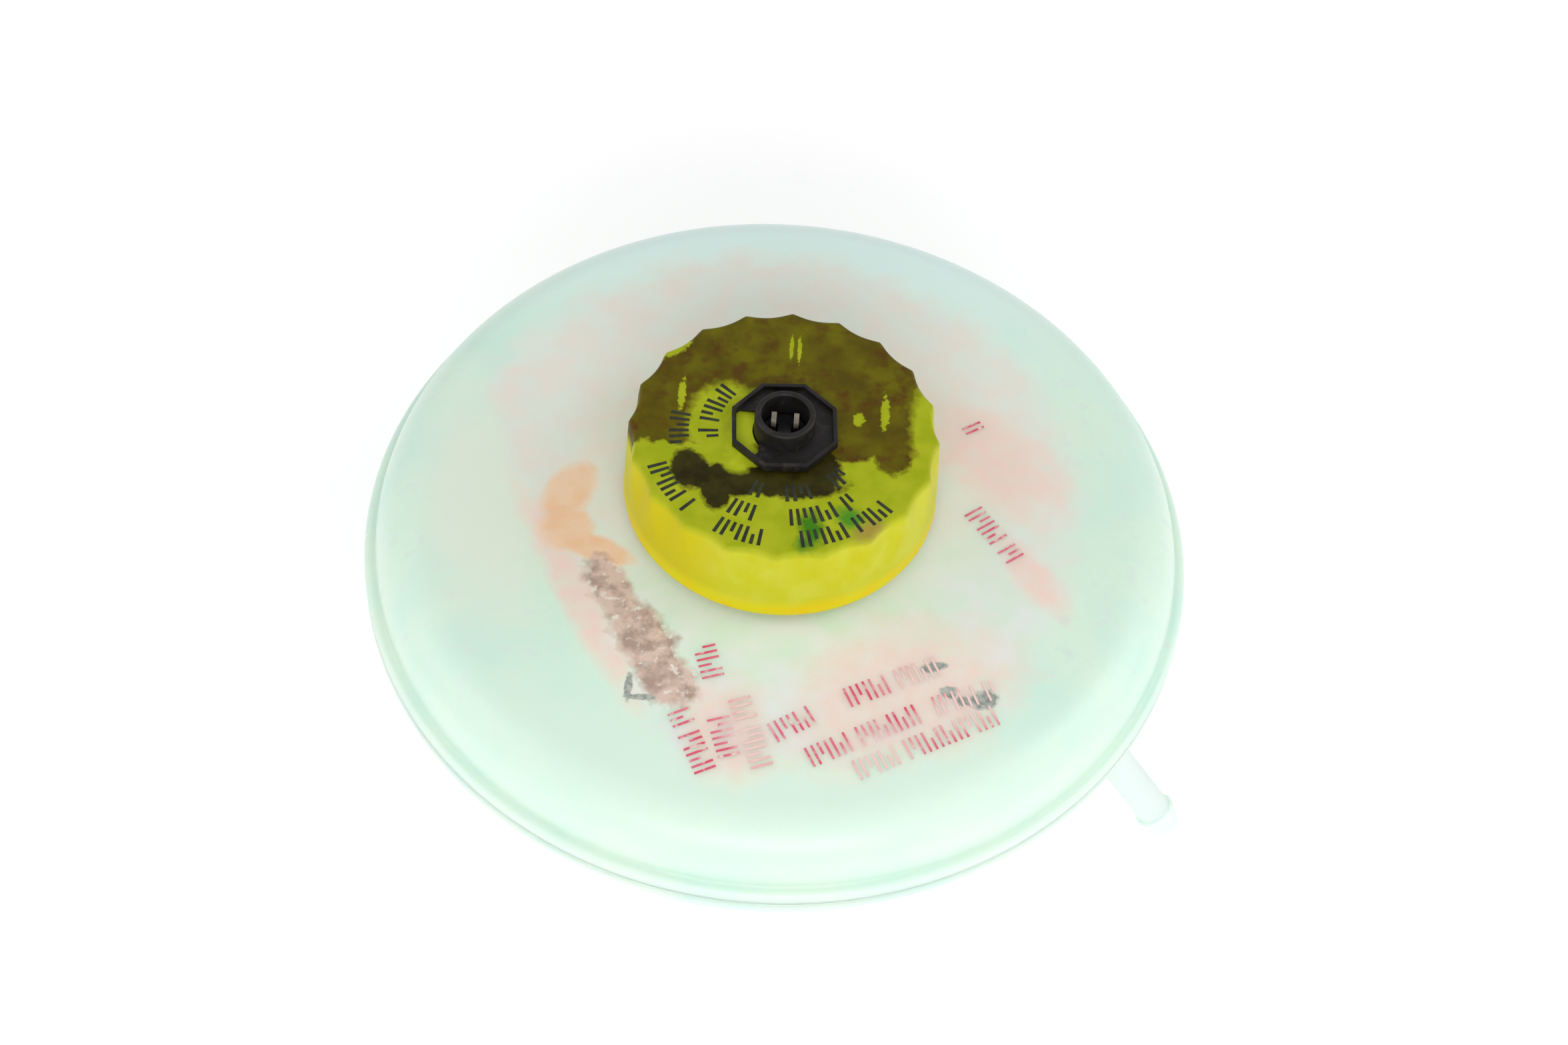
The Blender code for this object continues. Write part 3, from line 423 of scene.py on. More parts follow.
def screw_thread(name, root, crest, low, pitch=4.0, turns=2):
    """A helical ridge of one start. Both its ends sink to the root over a twelfth of a turn."""
    steps = 96
    sunk_steps = steps / 12
    foot, tip = 1.1, 0.35
    bpy.ops.object.select_all(action="DESELECT")
    bpy.ops.mesh.primitive_plane_add(size=2)
    ridge = bpy.context.object
    ridge.name = name
    corners = ((root, -foot), (crest, -tip), (crest, tip), (root, foot))
    for vertex, (radius, height) in zip((ridge.data.vertices[i] for i in (0, 1, 3, 2)), corners):
        vertex.co = (radius * MM, 0, (low + height) * MM)
    bpy.ops.object.mode_set(mode="EDIT")
    bpy.ops.mesh.select_all(action="SELECT")
    bpy.ops.mesh.delete(type="ONLY_FACE")
    bpy.ops.object.mode_set(mode="OBJECT")
    screw = ridge.modifiers.new("helix", "SCREW")
    screw.angle = math.tau
    screw.screw_offset = pitch * MM
    screw.iterations = turns
    screw.steps = screw.render_steps = steps
    screw.use_smooth_shade = True
    bpy.ops.object.modifier_apply(modifier="helix")
    last = steps * turns
    for vertex in ridge.data.vertices:
        step = vertex.index // 4
        rise = min(1.0, step / sunk_steps, (last - step) / sunk_steps)
        radius = math.hypot(vertex.co.x, vertex.co.y)
        share = (root * MM + (radius - root * MM) * rise) / radius
        vertex.co.x *= share
        vertex.co.y *= share
    bpy.ops.object.mode_set(mode="EDIT")
    bpy.ops.mesh.select_all(action="SELECT")
    bpy.ops.mesh.remove_doubles(threshold=1e-6)
    bpy.ops.mesh.fill_holes(sides=4)
    bpy.ops.mesh.normals_make_consistent(inside=False)
    bpy.ops.object.mode_set(mode="OBJECT")
    return ridge


def join(piece, others):
    """Makes moulded-on details part of a piece's mesh."""
    bpy.ops.object.select_all(action="DESELECT")
    for item in (piece, *others):
        item.select_set(True)
    bpy.context.view_layer.objects.active = piece
    bpy.ops.object.join()
    return piece


join(upper_shell, [screw_thread("neck_thread", root=neck_radius - 0.2, crest=21.95, low=57.2)])
smooth(upper_shell)


# The printed dome: the same polypropylene. Its rear edge is painted paler and bluish and its front
# shoulder paler, a painted glow of light coming through the thin rim. The printed field is dull and
# slightly pink behind the cap.
# Solvent has smeared the red ink into salmon, orange and mauve patches.
printed, printed_shader, skin, skin_colour = milky_finish("printed_polypropylene")
# Painted glow: the rear edge and the front shoulder are painted paler, for light coming through the thin
# rim.
rear_edge_glow = smudge_and_light_patch(printed, skin, (0, 60), (60, 27), soft=0.5, ragged=0.15, tooth=9)
skin_colour = tint(printed, skin_colour, rear_edge_glow, "#DCFAED")
front_shoulder_glow = smudge_and_light_patch(printed, skin, (2, -50), (44, 15), soft=0.6, ragged=0.15, tooth=9)
skin_colour = tint(printed, skin_colour, front_shoulder_glow, "#DDFDE3")
dulled = smudge_and_light_patch(printed, skin, (-48, -4), (10, 23), 8, 0.4, 0.3, 6)
skin_colour = tint(printed, skin_colour, dulled, "#E2F1DD")


def together(material, patches, operation="MAXIMUM"):
    """One mask of several: the strongest counts, or with MULTIPLY their product."""
    mask = patches[0]
    for patch in patches[1:]:
        both = add_node(material, "ShaderNodeMath", {"operation": operation}, n0=mask, n1=patch)
        mask = both.outputs[0]
    return mask


field = together(printed, [smudge_and_light_patch(printed, skin, (-2.5, 1), (51.5, 52.5), 0, 0.06, 0.1, 6),
                           smudge_and_light_patch(printed, skin, (186, 100), (250, 250), 0, 0.008, 0.01, 6)], "MULTIPLY")
field_colour = tint(printed, "#E9E4D9", mottling(printed, skin, 5), "#E3EADE")
near = smudge_and_light_patch(printed, skin, (10, -36), (50, 34), soft=0.3, ragged=0.2, tooth=6)
near_colour = tint(printed, "#E4EEE7", mottling(printed, skin, 6), "#D9F0DE")
field_colour = tint(printed, field_colour, near, near_colour)
skin_colour = tint(printed, skin_colour, field, field_colour)
pale_places = (((35.5, 11), (13, 7.5), -45), ((42, -12), (8.5, 3.0), -52), ((21, -37), (19, 11), 28),
               ((-31, -23), (21, 2.8), -61), ((-5, -46), (7, 9), 20))
pale = together(printed, [smudge_and_light_patch(printed, skin, *spot, 0.35, 0.4, 5) for spot in pale_places])
speckle = mottling(printed, skin, 3.0, -0.2, 0.8)
skin_colour = tint(printed, skin_colour, together(printed, [pale, speckle], "MULTIPLY"), "#F8D4CC")
orange_places = (((-34.6, -2.2), (6.2, 3.8), 68), ((-34.4, -9.6), (4.6, 4.2), -20),
                 ((-29, -13.4), (6.2, 2.4), -21))
orange = together(printed, [smudge_and_light_patch(printed, skin, *spot, 0.2, 0.25, 3) for spot in orange_places])
orange_colour = tint(printed, "#FAD3B6", mottling(printed, skin, 4), "#F8C8A4")
skin_colour = tint(printed, skin_colour, orange, orange_colour)
mauve_places = (((-26.3, -20.5), (6.5, 3.2), -55), ((-20.2, -29.5), (8, 4.0), -53),
                ((-15, -37.5), (5.5, 4.2), -48))
mauve = together(printed, [smudge_and_light_patch(printed, skin, *spot, 0.2, 0.6, 2.6) for spot in mauve_places])
mauve_colour = tint(printed, "#DCC4B8", mottling(printed, skin, 2.4, 0.4, 0.6), "#B39C90")
mauve_colour = tint(printed, mauve_colour, mottling(printed, skin, 1.3, 0.58, 0.7), "#EAE2D8")
skin_colour = tint(printed, skin_colour, mauve, mauve_colour)
grey_places = (((28.9, -35.6), (1.3, 1.1), 0), ((31.2, -37.0), (1.1, 0.9), 0),
               ((34.6, -36.4), (2.4, 1.6), 20), ((26.2, -31.4), (2.2, 0.9), 20),
               ((-21.5, -39.0), (0.6, 2.4), 0), ((-19.3, -40.8), (2.6, 0.5), 0))
grey = together(printed, [smudge_and_light_patch(printed, skin, *spot, 0.2, 0.5, 0.9) for spot in grey_places])
grey_colour = tint(printed, "#8E9690", mottling(printed, skin, 0.8), "#B9BDB6")
skin_colour = tint(printed, skin_colour, grey, grey_colour)
finish_colour(printed, printed_shader, skin_colour)
wear(upper_shell, printed)
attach(upper_shell, "reservoir")
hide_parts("upper_shell")

# Weld bead.
# The two flanges were pressed together hot, and a thin bead of the same polypropylene squeezed out of
# the joint and set as a slightly uneven line round the widest part.
bead_half = 0.14
bead_round = 0.3
bead_low, bead_high = weld_height - bead_half, weld_height + bead_half
bead_section = [(64.6, bead_high), (68.0, bead_high)]
bead_section += arc(flange_radius - bead_round, weld_height, bead_round, 27, -27, 6)
bead_section += [(68.0, bead_low), (64.6, bead_low)]
weld_bead = turned("weld_bead", bead_section, sides=240)
for vertex in weld_bead.data.vertices:
    turn = math.atan2(vertex.co.y, vertex.co.x)
    ripple = math.sin(7 * turn) + math.sin(19 * turn + 1.3) + math.sin(43 * turn + 0.4)
    swell = 1 - 0.0002 * (3 + ripple)
    vertex.co.x *= swell
    vertex.co.y *= swell
smooth(weld_bead)
# The same plastic, but its light stays on the skin: what soaks into so thin a strip is lost in the
# joint.
bead_finish, bead_shader, _, bead_colour = milky_finish("bead_polypropylene")
bead_shader.inputs["Subsurface Weight"].default_value = 0.0
finish_colour(bead_finish, bead_shader, bead_colour)
wear(weld_bead, bead_finish)
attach(weld_bead, "reservoir")

# Dome print.
# Rows of red marks were screen printed round the dome, three to a group. They are worn thin, and stand
# here as plain bars, without words.
ink_height = 3.6
ink_stroke = 0.4
ink_pitch = 1.1
ink_proud = 0.03
ink_sunk = -0.05


def marks(length, height, stroke, pitch):
    """Boxes of a printed row as (start, end, low, high): full and shorter upright bars by turns."""
    boxes = []
    for i in range(int(length / pitch)):
        start = i * pitch
        low, high = {"|": (0, 1), "'": (0.4, 1), ",": (0, 0.6)}.get("||'||,| |'||,||,"[i % 16], (0, 0))
        if high:
            boxes.append((start, start + stroke, low * height, high * height))
    return boxes


outlines = []
for (x, y), (end_x, end_y) in (
        ((1.6, -45.7), (9.3, -40.7)), ((12.9, -38.4), (28.1, -30.3)), ((7.5, -49.5), (25.3, -39.3)),
        ((26.8, -38.5), (37.5, -33.6)), ((15.0, -51.0), (37.6, -38.2)), ((-8.3, -53.0), (-13.8, -42.0)),
        ((-4.8, -50.2), (-7.4, -42.6)), ((-8.3, -36.4), (-10.6, -29.6)), ((0.4, -51.6), (-4.4, -38.9)),
        ((31.9, -0.2), (39.8, -9.8)), ((31.2, 18.0), (32.6, 16.0))):
    along = Vector((end_x - x, end_y - y))
    length = along.length
    along.normalize()
    across = Vector((-along.y, along.x))
    for start, end, low, high in marks(length, ink_height, ink_stroke, ink_pitch):
        corners = ((start, low), (end, low), (end, high), (start, high))
        outlines.append([tuple(Vector((x, y)) + along * s + across * (t - ink_height / 2))
                         for s, t in corners])
dome_print = plate("dome_print", outlines, 0, 1)
for vertex in dome_print.data.vertices:
    above = ink_proud if vertex.co.z > 0.5 * MM else ink_sunk
    vertex.co.z = (crown(math.hypot(vertex.co.x, vertex.co.y) / MM) + above) * MM
# Red screen-printing ink, dull and rubbed away in spots, where the milky skin shows through.
red_ink, red_ink_shader = new_finish("worn_red_ink", Roughness=0.5)
ink_vector = add_node(red_ink, "ShaderNodeTexCoord").outputs["Object"]
ink = tint(red_ink, "#D84A6A", mottling(red_ink, ink_vector, 5, 0.4, 0.6), "#E0788A")
ink = tint(red_ink, ink, mottling(red_ink, ink_vector, 1.6, 0.54, 0.68), "#E3CFC8")
faded_places = (((27, -32), (9, 4), 25), ((33, -37), (9, 4), 30), ((-2, -46), (3, 8), 20),
                ((18, -48), (6, 4), 30))
faded = together(red_ink, [smudge_and_light_patch(red_ink, ink_vector, *spot, 0.4, 0.6, 3) for spot in faded_places])
ink = tint(red_ink, ink, faded, "#EBC9C4")
finish_colour(red_ink, red_ink_shader, ink)
wear(dome_print, red_ink)
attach(dome_print, "reservoir")

# Strainer frame.
# A cup of natural nylon hangs in the neck by its lip. Its side is cut away to eight bars and a hoop, and
# its floor to four spokes and a hub, so that the fluid runs through.
cup_radius = 18.6
lip_radius = 20.8
frame_section = [(16.9, 16.8), (17.4, 17.3), (17.4, 66.95), (17.6, 67.15), (lip_radius - 0.25, 67.15)]
frame_section += [(lip_radius, 66.9), (lip_radius, 66.15), (cup_radius, 66.15), (cup_radius, 16.2)]
frame_section += [(18.0, 15.6)]
strainer = turned("strainer_cup", frame_section, sides=128, capped=True)


def sector(inner, outer, start, end, steps):
    """Outline of a piece of a ring, its angles in degrees."""
    return arc(0, 0, outer, start, end, steps) + arc(0, 0, inner, end, start, steps)


hub_radius = 6.0
floor_window_radius = 14.9
half_bar = math.degrees(1.5 / cup_radius)
half_spoke = math.degrees(3.0 / floor_window_radius)
side_windows = [sector(17.0, 19.0, i * 45 + half_bar, (i + 1) * 45 - half_bar, 10) for i in range(8)]
quarters = [(i * 90 + half_spoke, (i + 1) * 90 - half_spoke) for i in range(4)]
floor_windows = [sector(hub_radius, floor_window_radius, start, end, 14) for start, end in quarters]
windows = [plate("low_windows", side_windows, 19.3, 38.95),
           plate("high_windows", side_windows, 41.45, 61.15),
           plate("floor_windows", floor_windows, 15, 18)]
combine(strainer, windows, "DIFFERENCE")
smooth(strainer)


def soft_spots(name, dark, light, size, depth, **values):
    """A finish of two near colours in soft spots, with a fine grain. Sizes are in millimetres."""
    material, shader = new_finish(name, **values)
    vector = add_node(material, "ShaderNodeTexCoord").outputs["Object"]
    finish_colour(material, shader, tint(material, dark, mottling(material, vector, size), light))
    grain(material, shader, vector, size / 3, depth)
    return material


# Natural nylon is ivory and satin, and a little light soaks in.
natural_nylon = soft_spots("natural_nylon", "#E6E1CF", "#EFECDF", 4.0, 0.01, Roughness=0.45, IOR=1.53,
                           Subsurface_Weight=0.3, Subsurface_Scale=0.002)
wear(strainer, natural_nylon)
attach(strainer, "reservoir")
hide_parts("strainer_frame")

# Strainer mesh.
# Woven polyester cloth is moulded into the frame and keeps dirt out of the brakes. The real cloth has
# about five threads to the millimetre. It is drawn with one, or it wouldn't show.
cloth_radius = 16.9
cloth_low = 17.3
cloth_high = 65.7
thread_rows = 44
bpy.ops.object.select_all(action="DESELECT")
bpy.ops.mesh.primitive_circle_add(vertices=96, radius=cloth_radius * MM, location=(0, 0, cloth_low * MM))
cloth = bpy.context.object
cloth.name = "strainer_cloth"
bpy.ops.object.transform_apply(location=True, rotation=True, scale=True)
bpy.ops.object.mode_set(mode="EDIT")
bpy.ops.mesh.select_all(action="SELECT")
thread_step = (cloth_high - cloth_low) / thread_rows * MM
for _ in range(thread_rows):
    bpy.ops.mesh.extrude_edges_move(TRANSFORM_OT_translate={"value": (0, 0, thread_step)})
bpy.ops.object.mode_set(mode="OBJECT")
bpy.ops.mesh.primitive_grid_add(x_subdivisions=31, y_subdivisions=31, size=2 * cloth_radius * MM,
                                location=(0, 0, cloth_low * MM))
cloth_floor = bpy.context.object
bpy.ops.object.transform_apply(location=True, rotation=True, scale=True)
bpy.ops.object.mode_set(mode="EDIT")
pick(cloth_floor, lambda p: math.hypot(p.x, p.y) > cloth_radius - 0.1)
bpy.ops.mesh.delete(type="VERT")
bpy.ops.object.mode_set(mode="OBJECT")
join(cloth, [cloth_floor])
threads = cloth.modifiers.new("threads", "WIREFRAME")
threads.thickness = 0.26 * MM
threads.use_replace = True
bpy.ops.object.modifier_apply(modifier="threads")
bpy.ops.object.mode_set(mode="EDIT")
bpy.ops.mesh.select_all(action="SELECT")
bpy.ops.mesh.remove_doubles(threshold=1e-6)
bpy.ops.mesh.normals_make_consistent(inside=False)
bpy.ops.object.mode_set(mode="OBJECT")
polyester = soft_spots("woven_polyester", "#D8D4C4", "#E4E1D4", 3.0, 0.004, Roughness=0.5)
wear(cloth, polyester)
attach(cloth, "reservoir")
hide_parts("strainer_mesh")

# Screw cap.
# The cap is injection moulded in yellow polypropylene, with twenty hollow flutes for grip that run out
# towards its plain rim, a thread inside and a round hole for the sensor head.
cap_top = 71.45
cap_roof = 69.25
cap_bottom = 55.85
cap_top_radius = 25.0
cap_radius = 25.65
cap_edge = 0.7
cap_rim = 1.3
cap_cavity = 22.8
post_radius = 5.65
neck_of_post = 4.9
hole_radius = neck_of_post + 0.2
hole_step = cap_roof + 0.6
skirt_rows = 16
rim_top = cap_bottom + cap_rim
cap_section = arc(cap_top_radius - cap_edge, cap_top - cap_edge, cap_edge, 90, 0, 5)
for i in range(1, skirt_rows + 1):
    share = i / skirt_rows
    cap_section.append((cap_top_radius + (cap_radius - cap_top_radius) * share,
                        cap_top - cap_edge + (rim_top - cap_top + cap_edge) * share))
cap_section += arc(cap_radius - cap_rim, rim_top, cap_rim, -15, -90, 5)
cap_section += [(cap_cavity + 0.4, cap_bottom), (cap_cavity, cap_bottom + 0.4)]
cap_section += [(cap_cavity, cap_roof - 0.5), (cap_cavity - 0.5, cap_roof), (post_radius + 0.3, cap_roof)]
cap_section += [(post_radius + 0.3, hole_step), (hole_radius, hole_step), (hole_radius, cap_top)]
cap = turned("yellow_cap", cap_section, sides=240)
flutes = 20
flute_depth = 1.0
valley_radius = 24.0
skirt_spread = 0.00598
for vertex in cap.data.vertices:
    radius = math.hypot(vertex.co.x, vertex.co.y) / MM
    height = vertex.co.z / MM
    if radius < valley_radius - 0.5:
        continue
    across = 2 * (math.atan2(vertex.co.y, vertex.co.x) / math.tau * flutes % 1) - 1
    drop = max(0, height - (cap_top - cap_edge))
    rounding = cap_edge - math.sqrt(max(0, cap_edge ** 2 - drop ** 2))
    spread = 1 + skirt_spread * (cap_top + 0.3 - height)
    share = min(1, ((valley_radius + flute_depth * across ** 2) * spread - rounding) / radius)
    vertex.co.x *= share
    vertex.co.y *= share
join(cap, [screw_thread("cap_thread", root=cap_cavity + 0.2, crest=22.15, low=59.2)])
smooth(cap)
# Yellow polypropylene: satin, a little light soaks in. The flat top is painted darker olive yellow,
# painted shade where less light falls on it, and the low rim is painted brighter and more golden, a
# painted glow of light coming through it. Old brake fluid has baked into a ragged brown stain over its
# rear.
yellow, yellow_shader = new_finish("yellow_polypropylene", Roughness=0.45, IOR=1.49,
                                   Subsurface_Weight=0.25, Subsurface_Scale=0.0015,
                                   Specular_IOR_Level=0.14)
cap_vector = add_node(yellow, "ShaderNodeTexCoord").outputs["Object"]
cap_axes = add_node(yellow, "ShaderNodeSeparateXYZ", Vector=cap_vector)
side = tint(yellow, "#C4C21C", mottling(yellow, cap_vector, 5), "#CAC83A")
golden = smudge_and_light_patch(yellow, cap_vector, (-19, -17), (9, 12), 0, 0.4, 0.3, 4)
side = tint(yellow, side, golden, "#C8BA0C")
# The low rim is painted brighter and more golden: a painted glow.
low_rim_glow = add_node(yellow, "ShaderNodeMapRange", Value=cap_axes.outputs[2], From_Min=60.5 * MM,
                   From_Max=58 * MM).outputs[0]
rim_glow_colour = tint(yellow, "#D8CE0C", mottling(yellow, cap_vector, 3), "#E2C408")
side = tint(yellow, side, low_rim_glow, rim_glow_colour)
# The flat top is painted darker olive: painted shade.
face = add_node(yellow, "ShaderNodeMapRange", Value=cap_axes.outputs[2], From_Min=70 * MM,
                From_Max=71.4 * MM).outputs[0]
shaded_top_colour = tint(yellow, "#9AA60E", mottling(yellow, cap_vector, 4), "#A8B01C")
cap_colour = tint(yellow, side, face, shaded_top_colour)
# Green and tan spots on the flat top, and a paler yellow spot under the collar's window: painted light
# where the collar shades the cap.
face_spots = (((5.4, -19.0), (1.9, 3.2), 10, "#3F7A10"), ((11.3, -16.4), (2.4, 1.8), -30, "#4B8A1E"),
              ((4.2, -22.0), (1.2, 1.4), 0, "#4E8018"), ((14.6, -18.6), (2.8, 1.7), 35, "#A0903A"),
              ((-6.4, -1.2), (2.2, 5.5), 0, "#C4D024"))
for centre, size, turn, colour in face_spots:
    spot = smudge_and_light_patch(yellow, cap_vector, centre, size, turn, 0.5, 0.6, 1.2)
    cap_colour = tint(yellow, cap_colour, together(yellow, [spot, face], "MULTIPLY"), colour)
# The stain lies behind a frayed line across the cap, and runs a little way down the side.
fray = add_node(yellow, "ShaderNodeTexNoise", Vector=cap_vector, Scale=1 / (2 * MM), Detail=5.0)
frayed = add_node(yellow, "ShaderNodeMath", {"operation": "MULTIPLY_ADD"}, n0=fray.outputs[0], n1=4 * MM,
                  n2=cap_axes.outputs[1]).outputs[0]
rear = add_node(yellow, "ShaderNodeMapRange", Value=frayed, From_Min=-2.4 * MM,
                From_Max=-1.8 * MM).outputs[0]
high_up = add_node(yellow, "ShaderNodeMapRange", Value=cap_axes.outputs[2], From_Min=67.2 * MM,
                   From_Max=69.5 * MM).outputs[0]
stain = together(yellow, [rear, high_up], "MULTIPLY")
# Thick, almost black patches lie in front of it, and two thin lobes to their right. Those along the
# collar's front edge are painted shadow of the collar, and the rest are drops of the stain.
drop_and_shadow_places = (((-14.4, -8.9), (3.2, 4.2), 15), ((-9.9, -11.8), (2.6, 5.0), 0),
                ((0.8, -10.2), (9.4, 3.2), 0), ((-6.8, -10.8), (3.6, 3.2), 20),
                ((5.8, -7.4), (3.6, 4.6), 0))
thick_drops_and_shadow = together(yellow, [smudge_and_light_patch(yellow, cap_vector, *spot, 0.12, 0.3, 1.2) for spot in drop_and_shadow_places])
lobe_places = (((17.6, -2.4), (3.2, 5.0), 0), ((10.2, -3.0), (4.4, 2.4), 0))
lobes = together(yellow, [smudge_and_light_patch(yellow, cap_vector, *spot, 0.12, 0.3, 1.2) for spot in lobe_places])
stain = together(yellow, [stain, thick_drops_and_shadow, lobes])
# Clean places in the stain: broad ones at its right end and left of the head, and small scraped ones.
broad_places = (((25.2, 3), (4.9, 12.5), 0), ((-9.4, 1.0), (6.4, 8.0), 0),
                ((-8.2, -5.6), (2.4, 4.0), 35))
clean = [smudge_and_light_patch(yellow, cap_vector, *spot, 0.15, 0.2, 1.4) for spot in broad_places]
scraped_places = (((0.2, 17.4), (0.35, 2.4), 0, 0.8), ((1.5, 17.2), (0.35, 2.6), 0, 0.8),
                  ((11.8, 3.4), (0.9, 1.3), 0, 0.9), ((16.0, 5.1), (0.7, 3.4), 0, 0.9),
                  ((-16.9, 6.1), (0.6, 3.2), 0, 0.9), ((-18.6, 15.6), (3.0, 1.2), 40, 0.6))
for centre, size, turn, ragged in scraped_places:
    clean.append(smudge_and_light_patch(yellow, cap_vector, centre, size, turn, 0.15, ragged, 0.7))
for mask in clean:
    stain = add_node(yellow, "ShaderNodeMath", {"operation": "SUBTRACT", "use_clamp": True}, n0=stain,
                     n1=mask).outputs[0]
brown = tint(yellow, "#524600", mottling(yellow, cap_vector, 5, 0.35, 0.65), "#686200")
brown = tint(yellow, brown, mottling(yellow, cap_vector, 2.6, 0.5, 0.7), "#553A06")
# The thick patches are almost black: drops of the stain, and painted shadow along the collar's front.
brown = tint(yellow, brown, thick_drops_and_shadow, tint(yellow, "#242000", mottling(yellow, cap_vector, 3), "#363206"))
cap_colour = tint(yellow, cap_colour, stain, brown)
finish_colour(yellow, yellow_shader, cap_colour)
grain(yellow, yellow_shader, cap_vector, 1.2, 0.012)
wear(cap, yellow)
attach(cap, "screw_cap")
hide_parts("cap_ring")

# Cap print.
# Three rings of black marks are printed on the cap's flat top, and the stain hides those at its rear.
# They are plain bars here, without words.
mark_height = 3.2
mark_stroke = 0.55
mark_pitch = 1.15
outlines = []
for radius, start_deg, end_deg in (
        (21.5, -157, -127), (21.5, -116, -91), (21.5, -80, -35), (17.2, -116, -97), (17.2, -84, -45),
        (12.5, -111, -100), (12.5, -86, -62), (12.5, -50, -34), (12.2, 140, 197), (16.9, 172, 196)):
    length = math.radians(end_deg - start_deg) * radius
    for start, end, low, high in marks(length, mark_height, mark_stroke, mark_pitch):
        corners = []
        for s, t in ((start, low), (end, low), (end, high), (start, high)):
            angle = math.radians(start_deg) + s / radius
            reach = radius + mark_height / 2 - t
            corners.append((reach * math.cos(angle), reach * math.sin(angle)))
        outlines.append(corners)
cap_print = plate("cap_print", outlines, cap_top + ink_sunk, cap_top + ink_proud)
# Black pad-printing ink, satin and slightly green where the yellow shows through it.
black_ink, black_ink_shader = new_finish("black_ink", Roughness=0.45)
ink_vector = add_node(black_ink, "ShaderNodeTexCoord").outputs["Object"]
ink = tint(black_ink, "#10140A", mottling(black_ink, ink_vector, 1.5), "#262C10")
finish_colour(black_ink, black_ink_shader, ink)
wear(cap_print, black_ink)
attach(cap_print, "screw_cap")

# Sensor head.
# The head is injection moulded in black nylon: a round connector post with a deep socket, an
# eight-sided collar round it with a window in its floor, and a barrel below that holds the stem.
post_top = 75.95
post_edge = 0.5
socket_radius = 3.8
socket_floor = 69.95
web_bottom = 68.05
groove_radius = 5.05
groove_top = 67.75
groove_low = 65.95
barrel_bottom = 64.65
collar_low = 71.75
collar_high = 73.15
collar_flats = 16.8
collar_wall = 0.65
collar_floor = 0.5
collar_turn = math.radians(4.3)
head_section = [(4.2, socket_floor), (4.2, 71.4), (socket_radius, 71.6)]
head_section += [(socket_radius, post_top - 0.35)]
head_section += arc(4.1, post_top - 0.3, 0.3, 180, 90, 3)
head_section += arc(neck_of_post - post_edge, post_top - post_edge, post_edge, 90, 0, 5)
head_section += [(neck_of_post, cap_roof + 0.3), (post_radius, cap_roof + 0.1), (post_radius, groove_top)]
head_section += [(groove_radius, groove_top), (groove_radius, groove_low), (post_radius, groove_low)]
head_section += [(post_radius, barrel_bottom + 0.25), (5.4, barrel_bottom), (3.75, barrel_bottom)]
head_section += [(3.5, barrel_bottom + 0.25), (3.5, web_bottom)]
head = turned("black_head", head_section, sides=96, capped=True)


def octagon(flats):
    """Corners of an eight-sided outline, from its size across flats, turned as the collar is."""
    corner = flats / 2 / math.cos(math.pi / 8)
    turns = [collar_turn + math.pi / 8 * (2 * i + 1) for i in range(8)]
    return [(corner * math.cos(a), corner * math.sin(a)) for a in turns]


bore_outline = arc(0, 0, neck_of_post - 0.5, 0, 357.5, 143)
collar = plate("collar", [octagon(collar_flats), bore_outline], collar_low, collar_high, edge=0.2)
room_outline = octagon(collar_flats - 2 * collar_wall)
collar_room = plate("collar_room", [room_outline], collar_low + collar_floor, collar_high + 1)
combine(collar, [collar_room], "DIFFERENCE")
window_outline = [(-7.9, 2.6), (-7.47, -3.7), (-4.8, -6.2), (-3.9, -5.3), (-3.9, 3.1), (-7.4, 3.15)]
collar_window = plate("collar_window", [window_outline], collar_low - 1, collar_low + 1.5)
combine(collar, [collar_window], "DIFFERENCE")
combine(head, [collar], "UNION")
slots = [plate("blade_slot", [rectangle(x - 0.7, x + 0.7, 1.7)], web_bottom - 0.5, socket_floor + 0.5)
         for x in (-1.8, 1.8)]
combine(head, slots, "DIFFERENCE")
smooth(head)
# Glass-filled black nylon: satin, faintly grained, with grey dust where the light catches it.
black_nylon, black_shader = new_finish("black_nylon", Roughness=0.5, IOR=1.53, Specular_IOR_Level=0.3)
nylon_vector = add_node(black_nylon, "ShaderNodeTexCoord").outputs["Object"]
nylon_colour = tint(black_nylon, "#15120F", mottling(black_nylon, nylon_vector, 3), "#1E1B1C")
nylon_dust = mottling(black_nylon, nylon_vector, 1.8, 0.55, 0.85)
nylon_colour = tint(black_nylon, nylon_colour, nylon_dust, "#3A352C")
finish_colour(black_nylon, black_shader, nylon_colour)
grain(black_nylon, black_shader, nylon_vector, 0.35, 0.01)
wear(head, black_nylon)
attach(head, "sensor_unit")
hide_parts("sensor_head")

# Connector pins, resin and seals.
# The two tinned brass blades stand in a disc of cured resin on the socket's floor. A rubber seal and a
# steel snap ring hold the head in the cap, and a flat rubber gasket lies under the cap's plate.

# Tinned brass, dulled by years in the open socket. Cured epoxy is dark and glossy, moulded rubber is
# matt, and rolled spring steel is bright grey with fine rolling marks.
tinned_brass = soft_spots("tinned_brass", "#8F887C", "#A59D8E", 1.5, 0.01, Roughness=0.42, Metallic=1.0)
resin = soft_spots("cured_resin", "#1B1B20", "#26262B", 2.0, 0.03, Roughness=0.22, IOR=1.55)
rubber = soft_spots("moulded_rubber", "#17171A", "#222225", 1.2, 0.012, Roughness=0.78)
spring_steel = soft_spots("spring_steel", "#85888C", "#9A9DA1", 0.8, 0.006, Roughness=0.33, Metallic=1.0)
for node, finish in (("contact_left", tinned_brass), ("contact_right", tinned_brass),
                     ("socket_potting", resin), ("head_seal", rubber), ("cap_gasket", rubber),
                     ("snap_ring", spring_steel), ("stem_clip", spring_steel)):
    wear(nodes[node], finish)

